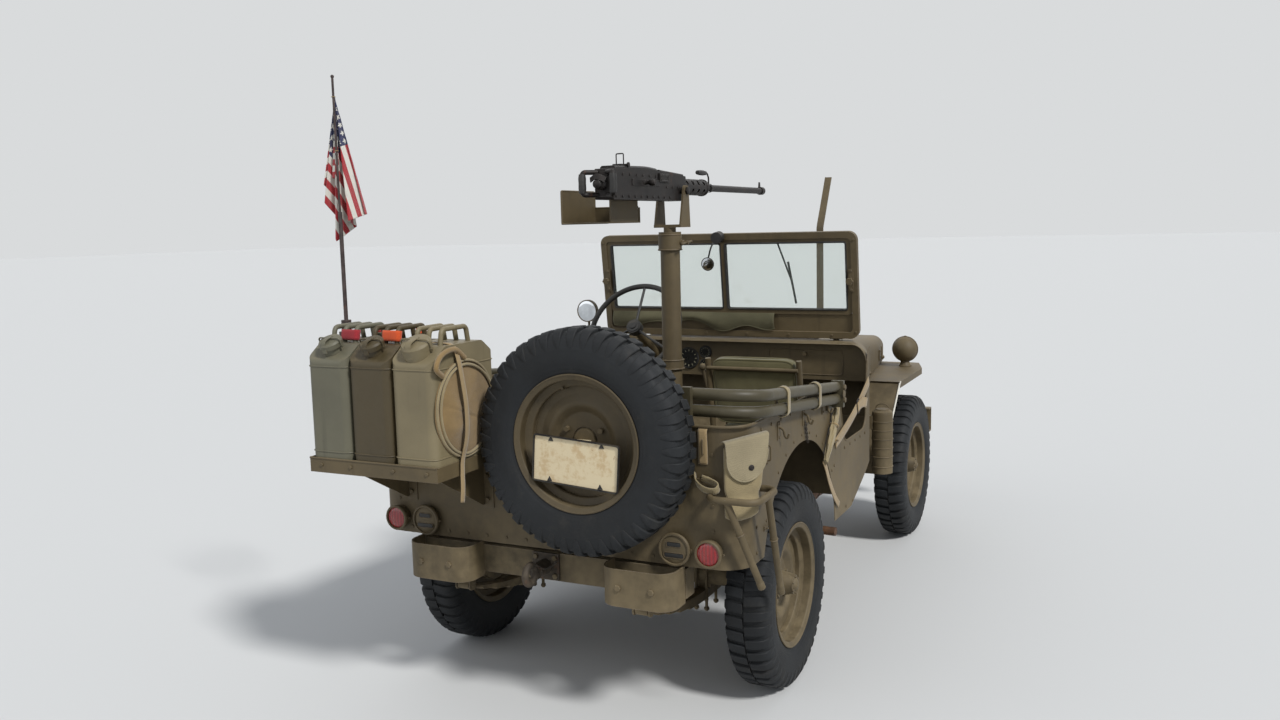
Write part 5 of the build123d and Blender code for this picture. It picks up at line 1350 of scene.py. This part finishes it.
bore_z = 1.785
cover_line = smooth(course((0, -0.03, 1.8365), (0, 0.1, 1.8395), (0, 0.235, 1.842), (0, 0.33, 1.8375)), 5)
gun_parts = [
    carried([(-0.031, -0.005), (-0.031, 0.004), (-0.024, 0.0105), (0.024, 0.0105), (0.031, 0.004), (0.031, -0.005)],
            cover_line, across=LEFT),
    carried([(-0.034, -0.004), (-0.034, 0.003), (-0.03, 0.006), (0.03, 0.006), (0.034, 0.003), (0.034, -0.004)],
            course((0, 0.345, 1.838), (0, 0.575, 1.8275)), across=LEFT),
    wire_box(at(0, 0.07, 1.872), RIGHT, UP, (0.015, 0.022), 0.005, 0.0024),
    carried([(-0.02, 0), (-0.018, 0.009), (0.018, 0.009), (0.02, 0)], course((0, 0.045, 1.847), (0, 0.11, 1.8485)),
            across=LEFT),
    turned([(0.004, 0), (0.004, 0.008), (0.009, 0.009), (0.009, 0.015), (0, 0.016)], at(0.02, 0.075, 1.853), RIGHT,
           steps=20),
    flat_bar(0.024, 0.003, course((0.0395, 0.09, 1.79), (0.0395, 0.33, 1.79)), UP),
    turned([(0.009, 0), (0.007, 0.006), (0.007, 0.014), (0.012, 0.02), (0.0135, 0.034), (0.009, 0.042), (0, 0.043)],
           at(0.04, 0.2, 1.79), RIGHT, steps=20)]
for side in (-1, 1):
    outward = (side, 0, 0)
    gun_parts += [heads(np.linspace(at(side * 0.038, low, z), at(side * 0.038, high, z), count), outward, 0.0055, 0.003)
                  for z, low, high, count in ((1.737, -0.04, 0.43, 10), (1.816, -0.04, 0.3, 7), (1.777, 0.4, 0.57, 4))]
    gun_parts += [flat_bar(0.034, 0.009, course((side * 0.0395, 0.325, 1.812), (side * 0.0395, 0.415, 1.812)), UP),
                  wire_box(at(side * 0.044, 0.37, 1.812), AHEAD, UP, (0.034, 0.011), 0.004, 0.0022, 6),
                  heads([at(side * 0.0625, 0.545, 1.765)], outward, 0.017, 0.008)]
gun_parts += [
    turned([(0.021, 0), (0.021, 0.026), (0.0155, 0.032), (0.0155, 0.044), (0.009, 0.049), (0, 0.05)],
           at(0, -0.0745, 1.779), BACK),
    heads(spread((-0.022, 0.022), -0.0755, (1.744, 1.814)), BACK, 0.005, 0.003),
    flat_bar(0.02, 0.004, smooth(course((-0.03, -0.108, 1.794), (0, -0.116, 1.806), (0.03, -0.108, 1.794)), 4),
             (0, 0.3, 1))]
gun_parts += [turned([(radius - 0.003, -half), (radius, -half * 0.7), (radius, half * 0.7), (radius - 0.003, half)],
                     at(0, y, bore_z), AHEAD, steps=36) for y, radius, half in
              ((0.597, 0.0365, 0.009), (0.845, 0.0365, 0.008), (0.872, 0.021, 0.012), (1.6, 0.0195, 0.004))]
gun_parts += [
    turned([(0.0185, -0.011), (0.0195, -0.009), (0.0195, 0.009), (0.0185, 0.011)], at(0, 0.93, bore_z), AHEAD,
           steps=28),
    tube(bent(course((0, 0.93, 1.8), (0, 0.93, 1.83), (0.012, 0.885, 1.848), (0.012, 0.77, 1.848)), 0.012), 0.0038, 8),
    carried([(-0.0035, 0), (-0.002, 0.026), (0.002, 0.026), (0.0035, 0)], course((0, 1.585, 1.801), (0, 1.6, 1.801)),
            across=LEFT)]
piece("gun_fittings", joined(*gun_parts), "gun", gun_steel, "dark_steel", crease=40)
grips = [turned([(0, -0.001), (0.0125, 0), (0.0142, 0.018), (0.0135, 0.036), (0.0142, 0.052), (0.0118, 0.068),
                 (0, 0.069)], at(x, -0.11, 1.7475), UP, steps=24) for x in (-0.062, 0.062)]
grips.append(turned([(0, 0), (0.009, 0.001), (0.0112, 0.03), (0.0112, 0.06), (0.009, 0.089), (0, 0.09)],
                    at(0.012, 0.775, 1.848), AHEAD, steps=24))
piece("gun_grips", joined(*grips), "gun", black, "black_plastic")
tray_edge = bent(course((-0.238, 0.043, 1.645), (-0.238, 0.043, 1.7655), (-0.238, 0.308, 1.7655),
                        (-0.238, 0.308, 1.702), (-0.046, 0.308, 1.702)), 0.008)
tray_parts = [tube(tray_edge, 0.0036, 8, across=(0.3, 0.2, 1)),
              tube(course((-0.238, 0.041, 1.642), (-0.04, 0.041, 1.642)), 0.0034, 8),
              heads(spread(-0.2405, (0.08, 0.27), (1.67, 1.735)), LEFT, 0.006, 0.0035),
              heads(spread(-0.0445, (0.09, 0.26), 1.735), LEFT, 0.0075, 0.005)]
tray_parts += [flat_ridge(course((-0.2405, y, 1.655), (-0.2405, y, 1.755)), AHEAD, 0.014, 0.0025)
               for y in (0.11, 0.175, 0.24)]
piece("ammo_tray_edges", joined(*tray_parts), "gun", paint, "body_paint")

# Pedestal: weld beads, base bolts and the clamp with its bar

post_y = 0.505
bar_ends = ((0.074, 0.46, 1.552), (0.074, 0.55, 1.56))
post = [ring(at(0, post_y, z), UP, radius, 0.0034, steps=48)
        for z, radius in ((1.04, 0.0475), (1.0755, 0.0475), (1.528, 0.0475), (1.588, 0.0465), (0.584, 0.043))]
post += [heads(spread((-0.095, -0.05, 0.05, 0.095), 0.62, 0.5815) + spread((-0.095, 0.095), 0.56, 0.5815), UP, 0.011,
               0.008),
         turned([(0.011, 0), (0.011, 0.012), (0.0075, 0.014), (0.0075, 0.034), (0, 0.035)], at(0.0475, post_y, 1.556),
                RIGHT, steps=20),
         rod(*course(*bar_ends), 0.0042)]
post += [turned([(0, -0.006), (0.0062, 0), (0, 0.006)], at(*place), AHEAD, steps=14) for place in bar_ends]
piece("pedestal_fittings", joined(*post), "car", thick_paint, "body_paint")

# Wheels: rolled rim edges, hub caps with their bolts, and valves


def wheel_fittings(centre, outward, hub=True):
    """What shows on the outer side of one wheel."""
    centre, outward = np.asarray(centre, float), np.asarray(outward, float)
    base = standing(outward)
    made = [ring(centre + s * 0.0655 * outward, outward, 0.2165, 0.0034, steps=96) for s in (-1, 1)]
    made.append(turned([(0.006, 0), (0.006, 0.016), (0.0042, 0.018), (0.0042, 0.03), (0, 0.031)],
                       centre + base @ np.array((0.168, 0.055, 0.006)), outward, steps=12))
    made.append(ring(centre + 0.0005 * outward, outward, 0.152, 0.0022, steps=96))
    if hub:
        made.append(turned([(0.0345, 0), (0.034, 0.004), (0.024, 0.0055), (0.019, 0.012), (0.008, 0.017), (0, 0.0175)],
                           centre + 0.0575 * outward, outward, steps=36))
        made.append(heads(clock(centre + 0.0615 * outward, base[:, 0], base[:, 1], 0.0285, around(6)), outward, 0.0052,
                          0.005))
    return joined(*made)


for name, side, y in corner_tyres:
    piece(f"wheel_{name}_fittings", wheel_fittings((side * half_track, y, tyre_radius), (side, 0, 0)), f"wheel_{name}",
          wheel_paint, "wheel_paint")
piece("spare_wheel_fittings", wheel_fittings(middle("spare_tyre"), BACK, hub=False), "car", wheel_paint, "wheel_paint")

# Tub edges: the rolled lip, and a bead down and up each door cut

lip = bent(course((0.7045, 0.455, 1.0175), (0.7045, -0.5495, 1.0175), (-0.7045, -0.5495, 1.0175),
                  (-0.7045, 0.455, 1.0175)), 0.104, steps=14)
door_cut = bent(course((0.6995, 0.508, 1.0), (0.6995, 0.593, 0.7565), (0.6995, 0.926, 0.7565), (0.6995, 0.954, 1.04)),
                np.array([[0.05], [0.052], [0.068], [0.05]]), steps=10)
painted("tub_edges", tube(lip, 0.0052, 10), both_sides(tube(door_cut, 0.0036, 8)))

# A slack strap and a roll of cloth tied at the right door cut


def cloth_roll_shape():
    """A roll gathered at its ends and where it is tied, with folds that wind round it. Gives the shape, and the
    place and direction of the tie."""
    t = np.linspace(0, 1, 46)[:, None]
    top, foot = at(0.7165, 0.452, 0.949), at(0.7165, 0.275, 0.744)
    line = top + t * (foot - top) + np.array((0.0, 0.012, 0)) * np.sin(np.pi * t)
    angle = around(40)
    gather = 0.62 + 0.38 * np.sin(np.pi * t[:, 0]) - 0.25 * np.exp(-((t[:, 0] - 0.42) / 0.05) ** 2)
    way, side, up = path_frame(line, RIGHT)
    folds = 1 + 0.16 * np.sin(5 * angle + 9 * t) + 0.08 * np.sin(11 * angle - 15 * t)
    section = (0.0115 * np.cos(angle)[:, None] * side[:, None] + 0.023 * np.sin(angle)[:, None] * up[:, None])
    roll = line[:, None] + gather[:, None, None] * folds[..., None] * section
    ends = [roll[end].mean(1, keepdims=True).repeat(40, 1) for end in (slice(1), slice(-1, None))]
    return surface(np.concatenate([ends[0], roll, ends[1]]), wrap_columns=True), line[19], way[19]


roll_shape, tie_place, tie_way = cloth_roll_shape()
cloth_roll = piece("cloth_roll", roll_shape, "car", khaki, "khaki_canvas", crease=80)
tail = smooth(course((0.708, 0.28, 0.752), (0.712, 0.3, 0.715), (0.709, 0.36, 0.645), (0.7075, 0.43, 0.575),
                     (0.7085, 0.487, 0.53)))
ribbon("cloth_roll_strap", [(tail, (0, 0.7, 0.7))], 0.026, webbing, "webbing")
piece("cloth_roll_tie", ring(tie_place, tie_way, 0.0165, 0.0028), "car", webbing, "webbing")

# Tools: straps round the hafts, each with a buckle on its outer side

hafts = [clock(at(-0.724, y + 0.035, z), RIGHT, UP, 0.0176, np.linspace(0, math.tau, 33))
         for y in (0.57, 0.83) for z in (0.65, 0.5495 + 0.0192 * (y - 0.48))]
ribbon("tool_straps", [(loop, AHEAD) for loop in hafts], 0.022, webbing, "webbing",
       gauge=0.002)
piece("tool_strap_buckles", joined(*(buckle(loop[16] + (-0.0012, 0, 0), UP, AHEAD, (0.009, 0.0135), 0.0016)
                                     for loop in hafts)), "car", gun_steel, "dark_steel")

# Bumpers, cutter, exhaust and hung tubes

plate_bolts = [both_sides(heads(spread((0.345, 0.445), 2.632, (0.47, 0.525)), AHEAD, 0.012, 0.008)),
               heads(spread(0.007, 2.638, (0.465, 0.53)), AHEAD, 0.011, 0.007),
               both_sides(heads(spread((0.32, 0.435), -0.655, 0.5085), BACK, 0.011, 0.006)),
               heads(spread((-0.036, 0.036), -0.555, (0.481, 0.543)), BACK, 0.0095, 0.007)]
piece("plate_bolts", joined(*plate_bolts), "car", thick_paint, "body_paint")
bands = [ring(at(0.47, y, 0.49), AHEAD, 0.0555, 0.0028, steps=48) for y in (0.605, 0.945, 0.7, 0.85)]
bands += [ring(at(0.47, y, 0.49), AHEAD, 0.0205, 0.003, steps=32) for y in (0.575, 0.975)]
piece("exhaust_bands", joined(*bands), "car", pipe_rust, "bare_steel")
hung_tubes = [((0.748, -0.52, 0.52), (0.6965, -0.568, 0.695), (0.086, 0.08, -0.292)),
              ((0.752, -0.35, 0.45), (0.7575, -0.434, 0.652), (-0.01, 0.15, -0.362))]
tube_ends = [turned([(0.0112, -0.022), (0.0124, -0.02), (0.0124, -0.002), (0.009, 0.002), (0, 0.003)], at(*foot),
                    way_down, steps=24) for foot, _, way_down in hung_tubes]
tube_ends += [ring(at(*band), way_down, 0.0115, 0.0022, steps=28) for _, band, way_down in hung_tubes]
piece("hung_tube_ends", joined(*tube_ends), "car", thick_paint, "body_paint")

# Axles: spring bolts over each tube, with nuts below, and the round covers of the two differentials

spring_bolts, covers, cover_bolts = [], [], []
for y, outward in ((0.0, -1), (front_y - axle_y, 1)):
    for x in (0.325, 0.365):
        corners = course((x, y - 0.045, 0.235), (x, y - 0.045, tyre_radius + 0.045),
                         (x, y + 0.045, tyre_radius + 0.045), (x, y + 0.045, 0.235))
        spring_bolts += [tube(bent(corners, 0.04, steps=8), 0.006, 8),
                         heads(spread(x, (y - 0.045, y + 0.045), 0.2475), DOWN, 0.0105, 0.009)]
    covers.append(turned([(0.062, 0), (0.06, 0.006), (0.03, 0.012), (0, 0.013)],
                         at(0.17, y + outward * 0.1135, tyre_radius), (0, outward, 0), steps=36))
    cover_bolts.append(heads(clock(at(0.17, y + outward * 0.078, tyre_radius), RIGHT, UP, 0.083,
                                   np.radians(np.arange(15, 375, 36))), (0, outward, 0), 0.008, 0.008))
piece("spring_bolts", both_sides(*spring_bolts), "car", under_paint, "frame_paint")
piece("axle_covers", joined(*covers, *cover_bolts), "car", under_paint, "frame_paint")

# Steering wheel's hub button

column_up = unit((0, -1, 0.65))
piece("hub_button", turned([(0.029, 0), (0.028, 0.004), (0.0175, 0.006), (0.0165, 0.011), (0.009, 0.0135), (0, 0.014)],
                           at(-0.33, 0.83, 1.17) + 0.018 * column_up, column_up, steps=36),
      "steering_wheel", black, "black_plastic")

# Engine, clutch housing, gearbox and transfer case, with what is bolted to them

engine_enamel = field_paint("engine enamel", shade(84, 90, 74), rough=0.5, dust=0.5, chips_and_edge_highlight=0.5, grime=0.8)


def along_y(outline, low, high, centre):
    """An outline of (across, up) places carried along the vehicle about a centre line."""
    return carried((np.asarray(outline, float) - centre) * (-1, 1),
                   course((centre[0], low, centre[1]), (centre[0], high, centre[1])), across=LEFT)


def mirrored_outline(*right):
    """A closed outline from its right half, listed from the foot up."""
    right = np.asarray(right, float)
    return np.concatenate([right, right[::-1] * (-1, 1)])


engine = [
    along_y(mirrored_outline((0.085, 0.525), (0.118, 0.55), (0.13, 0.655), (0.15, 0.66), (0.15, 0.672), (0.12, 0.676),
                             (0.118, 0.884)), 1.512, 2.03, (0, 0.72)),
    along_y(mirrored_outline((0.126, 0.8855), (0.126, 0.915), (0.12, 0.922)), 1.522, 2.022, (0, 0.9)),
    turned([(0.172, 0), (0.172, -0.01), (0.16, -0.014), (0.152, -0.05), (0.105, -0.1), (0.1, -0.118), (0, -0.118)],
           at(0, 1.512, 0.645), AHEAD, steps=56),
    along_y(mirrored_outline((0.085, 0.542), (0.1, 0.556), (0.1, 0.688), (0.088, 0.7)), 1.212, 1.4, (0, 0.62)),
    along_y(mirrored_outline((0.092, 0.701), (0.092, 0.709)), 1.225, 1.385, (0, 0.705)),
    along_y([(-0.068, 0.42), (-0.05, 0.398), (0.205, 0.398), (0.228, 0.42), (0.228, 0.48), (0.17, 0.548),
             (-0.05, 0.553), (-0.068, 0.535)], 0.915, 1.196, (0.08, 0.475)),
    along_y(mirrored_outline((0.345, 0.552), (0.345, 0.558), (0.16, 0.572)), 1.872, 1.928, (0, 0.56)),
    along_y(mirrored_outline((0.11, 0.533), (0.11, 0.541)), 1.234, 1.306, (0, 0.537)),
    heads(spread((-0.1, 0, 0.1), np.linspace(1.55, 1.99, 6), 0.922), UP, 0.011, 0.012),
    both_sides(heads(spread(0.1, (1.24, 1.305, 1.37), 0.7), UP, 0.007, 0.006)),
    both_sides(heads(spread(0.15, np.linspace(1.54, 2.0, 8), 0.666), RIGHT, 0.0065, 0.005)),
    both_sides(heads(spread(0.325, 1.9, 0.5655), UP, 0.014, 0.01))]
for place, way, radius in (((0.17, 0.915, 0.425), -1, 0.052), ((0.17, 1.196, 0.425), 1, 0.052),
                           ((0.0, 1.196, 0.49), 1, 0.055)):
    facing = (0, way, 0)
    rim_places = clock(at(*place) + (0, way * 0.01, 0), RIGHT, UP, radius * 0.86, np.radians(np.arange(30, 390, 60)))
    engine += [turned([(radius, 0), (radius, 0.01), (radius * 0.8, 0.0145), (0, 0.0145)], at(*place), facing, steps=40),
               heads(rim_places, facing, 0.006, 0.005)]
engine += [flat_ridge(course((side * 0.1255, y, 0.57), (side * 0.1285, y, 0.65)), AHEAD, 0.014, 0.004)
           for side in (-1, 1) for y in (1.62, 1.72, 1.82, 1.92)]
piece("engine_dressed", joined(*engine), "car", engine_enamel, "cast_parts", replaces=("engine_and_gearbox",),
      bevel=0.003)

manifold = [hose([(0.175, 1.56, 0.82), (0.178, 1.66, 0.815), (0.18, 1.77, 0.81), (0.178, 1.88, 0.815),
                  (0.175, 1.98, 0.82)], 5, 0.027, 16)]
manifold += [hose([(0.116, y, 0.84), (0.145, y, 0.838), (0.175, y + 0.01, 0.82)], 5, 0.021, 14)
             for y in (1.575, 1.7, 1.83, 1.965)]
manifold += [hose([(0.18, 1.77, 0.805), (0.182, 1.765, 0.76), (0.178, 1.752, 0.7), (0.155, 1.75, 0.655),
                   (0.15, 1.75, 0.64)], 6, 0.023, 16),
             turned([(0.034, 0), (0.034, 0.012), (0.024, 0.014)], at(0.18, 1.765, 0.75), (0, 0.1, 1), steps=24)]
piece("exhaust_manifold", joined(*manifold), "car", pipe_rust, "bare_steel")

# Distributor with its leads and plug caps, hoses, belt and battery

middle_y = 1.69
distributor = at(-0.165, middle_y, 0.862)
black_parts = [turned([(0.034, 0), (0.036, 0.02), (0.03, 0.036), (0.012, 0.04), (0.011, 0.052), (0, 0.052)],
                      distributor, UP)]
for number, y in enumerate((1.6, 1.73, 1.86, 1.97)):
    angle = 0.6 + number * 1.57
    tower = distributor + (0.02 * math.cos(angle), 0.02 * math.sin(angle), 0.036)
    lead = smooth([tower + (0, 0, 0.015), tower + (0, 0.2 * (y - middle_y), 0.05),
                   at(-0.1, y - 0.3 * (y - middle_y), 0.968), at(-0.05, y, 0.972), at(-0.05, y, 0.945)], 6)
    black_parts += [turned([(0.007, 0), (0.006, 0.016), (0.0045, 0.018)], tower, UP, steps=12), tube(lead, 0.0042, 8),
                    turned([(0.0105, 0), (0.0105, 0.01), (0.0075, 0.013), (0.0075, 0.03), (0, 0.031)],
                           at(-0.05, y, 0.922), UP, steps=12)]
pulley_y = 2.085
belt = bent(course(*((x, pulley_y, z) for x, z in ((0.005, 0.545), (0.062, 0.62), (0.05, 0.8), (-0.03, 0.815),
                                                   (-0.235, 0.765), (-0.225, 0.7), (-0.05, 0.555)))), 0.03, closed=True)
battery = at(-0.31, 2.01, 0)
black_parts += [
    hose([(0, 2.0, 0.93), (0, 2.04, 0.962), (0, 2.11, 0.966), (0, 2.17, 0.95), (0, 2.206, 0.935)], 6, 0.023, 16),
    hose([(0.19, 1.73, 0.935), (0.2, 1.66, 0.96), (0.24, 1.54, 0.98), (0.3, 1.45, 0.975)], 7, 0.026, 16),
    carried(flat_section(0.012, 0.008), belt, across=AHEAD, loop=True),
    carried(round_box((0, 0, 0), RIGHT, AHEAD, (0.075, 0.11), 0.008, steps=3)[:, :2],
            battery + np.outer((0.7, 0.88, 0.895), UP), scale=(1, 1, 0.97), across=RIGHT)]
black_parts += [turned([(0.014, 0), (0.014, 0.008), (0.008, 0.012), (0, 0.012)], battery + (0.03, d, 0.895), UP,
                       steps=16) for d in (-0.07, 0, 0.07)]
piece("engine_hoses", joined(*black_parts), "car", black, "black_plastic")

# Pulleys with their shafts, fan, generator and carburettor

fan_z, crank_z, generator_x, generator_z = 0.76, 0.6, -0.19, 0.735
bare_parts = [turned([(radius - 0.012, -0.011), (radius, -0.01), (radius - 0.01, -0.002), (radius - 0.01, 0.002),
                      (radius, 0.01), (radius - 0.012, 0.011), (0, 0.012)], at(x, pulley_y, z), AHEAD, steps=40)
              for x, z, radius in ((0.0, fan_z, 0.058), (0.0, crank_z, 0.062), (generator_x, generator_z, 0.042))]
bare_parts += [rod(at(0, 2.02, fan_z), at(0, 2.15, fan_z), 0.014, 16),
               rod(at(0, 2.02, crank_z), at(0, 2.08, crank_z), 0.018, 16)]
for turn in spin(AHEAD, np.radians((10, 100, 190, 280))):
    r, w = np.meshgrid(np.linspace(0.03, 0.175, 12), np.linspace(-1, 1, 7), indexing="ij")
    blade = np.stack([w * (0.022 + 0.16 * r), 0.13 * w * (0.022 + 0.16 * r) * 3 + 0.006 * w**2, r], -1)
    front = blade @ turn.T + at(0, 2.128, fan_z)
    bare_parts.append(surface(np.concatenate([front, (front + (0, 0.002, 0))[:, ::-1]], 1), wrap_columns=True))
bare_parts += [turned([(0.034, 0), (0.034, 0.006), (0.012, 0.012), (0, 0.012)], at(0, 2.13, fan_z), AHEAD, steps=24),
               turned([(0, 0), (0.05, 0.001), (0.054, 0.01), (0.054, 0.165), (0.048, 0.178), (0.02, 0.182), (0, 0.182)],
                      at(generator_x, 1.885, generator_z), AHEAD, steps=40)]
bare_parts += [ring(at(generator_x, y, generator_z), AHEAD, 0.054, 0.003) for y in (1.92, 2.03)]
bare_parts.append(turned([(0.026, 0), (0.03, 0.006), (0.03, 0.035), (0.036, 0.04), (0.036, 0.085), (0.028, 0.095),
                          (0.026, 0.12), (0, 0.12)], at(0.188, 1.75, 0.838), UP))
piece("engine_metal", joined(*bare_parts), "car", cast_steel, "cast_parts", crease=40)

# Air cleaner with its bracket, battery tray with its hold-down, and the radiator's bolts and cap

cleaner = at(0.315, 1.4, 0.82)
olive_parts = [turned([(0, 0), (0.072, 0.001), (0.076, 0.008), (0.076, 0.07), (0.08, 0.073), (0.08, 0.082),
                       (0.076, 0.085), (0.076, 0.17), (0.066, 0.182), (0.02, 0.186), (0, 0.186)], cleaner, UP,
                      steps=56)]
olive_parts += [ring(cleaner + (0, 0, z), UP, 0.0765, 0.0026, steps=56) for z in (0.03, 0.12)]
olive_parts += [
    flat_bar(0.05, 0.003, course((0.39, 1.4, 0.8), (0.404, 1.4, 0.8)), AHEAD),
    flat_bar(0.03, 0.003, bent(course((0.33, 1.4, 0.818), (0.4055, 1.4, 0.818), (0.4055, 1.4, 0.72)), 0.01), AHEAD),
    flat_bar(0.23, 0.004, course((-0.4045, 2.01, 0.697), (-0.23, 2.01, 0.697)), AHEAD),
    flat_bar(0.012, 0.004, bent(course((-0.4045, 2.01, 0.7), (-0.4045, 2.01, 0.9), (-0.231, 2.01, 0.9),
                                       (-0.231, 2.01, 0.7)), 0.01), AHEAD),
    heads(spread((-0.2, -0.07, 0.07, 0.2), 2.2045, 0.92), BACK, 0.007, 0.004),
    turned([(0.026, 0), (0.026, 0.01), (0.034, 0.012), (0.034, 0.022), (0.02, 0.027), (0, 0.027)], at(0, 2.24, 0.9595),
           UP)]
painted("engine_bay_fittings", *olive_parts, crease=40)

# Floor, light and camera


def place_camera():
    """Stands the camera where the photograph was taken."""
    lens_px, frame_px, sensor = 1080.1, 1280, 36
    yaw, pitch, roll = (math.radians(a) for a in (26.03, 7.12, -1.38))
    camera = bpy.data.objects.new("camera", bpy.data.cameras.new("camera"))
    bpy.context.scene.collection.objects.link(camera)
    camera.data.sensor_width = sensor
    camera.data.lens = sensor * lens_px / frame_px
    ahead = Vector((-math.sin(yaw) * math.cos(pitch), math.cos(yaw) * math.cos(pitch), -math.sin(pitch)))
    right = Vector((math.cos(yaw), math.sin(yaw), 0))
    up = right.cross(ahead)
    right, up = (right * math.cos(roll) + up * math.sin(roll), up * math.cos(roll) - right * math.sin(roll))
    camera.matrix_world = Matrix(((right.x, up.x, -ahead.x, 1.827), (right.y, up.y, -ahead.y, -3.542 + axle_y),
                                  (right.z, up.z, -ahead.z, 1.631), (0, 0, 0, 1)))
    bpy.context.scene.camera = camera


def lay_floor():
    """A wide pale floor."""
    finish = Finish("studio floor")
    finish.done({"Base Color": shade(206, 206, 204), "Roughness": 0.9, "Specular IOR Level": 0.1})
    mesh = bpy.data.meshes.new("floor")
    mesh.from_pydata([(-90, -90, 0), (90, -90, 0), (90, 90, 0), (-90, 90, 0)], [], [(0, 1, 2, 3)])
    mesh.materials.append(finish.material)
    floor = bpy.data.objects.new("floor", mesh)
    bpy.context.scene.collection.objects.link(floor)


def light_studio():
    """A soft sky whose seen, mirrored and refracted part is a pale backdrop, a broad sun from the vehicle's
    right, and two soft fills."""
    world = bpy.data.worlds.new("studio")
    bpy.context.scene.world = world
    world.use_nodes = True
    tree = world.node_tree
    sky = tree.nodes["Background"]
    sky.inputs["Color"].default_value = shade(214, 222, 234)
    sky.inputs["Strength"].default_value = 0.5
    seen = tree.nodes.new("ShaderNodeBackground")
    seen.inputs["Color"].default_value = shade(217, 219, 220)
    path = tree.nodes.new("ShaderNodeLightPath")
    either = path.outputs["Is Camera Ray"]
    for ray in ("Is Glossy Ray", "Is Transmission Ray"):
        larger = tree.nodes.new("ShaderNodeMath")
        larger.operation = "MAXIMUM"
        tree.links.new(either, larger.inputs[0])
        tree.links.new(path.outputs[ray], larger.inputs[1])
        either = larger.outputs[0]
    blend = tree.nodes.new("ShaderNodeMixShader")
    for socket, source in enumerate((either, sky.outputs[0], seen.outputs[0])):
        tree.links.new(source, blend.inputs[socket])
    tree.links.new(blend.outputs[0], tree.nodes["World Output"].inputs["Surface"])
    for name, toward, strength, width in (("key", (0.8, -0.42, 0.85), 2.9, 9), ("fill", (-0.6, -0.8, 0.5), 0.55, 60),
                                          ("front fill", (-0.3, 0.9, 0.6), 0.5, 60)):
        lamp = bpy.data.objects.new(name, bpy.data.lights.new(name, "SUN"))
        bpy.context.scene.collection.objects.link(lamp)
        lamp.data.energy, lamp.data.angle = strength, math.radians(width)
        lamp.rotation_euler = Vector(toward).to_track_quat("Z", "Y").to_euler()


place_camera()
lay_floor()
light_studio()
bpy.context.scene.view_settings.view_transform = "Standard"
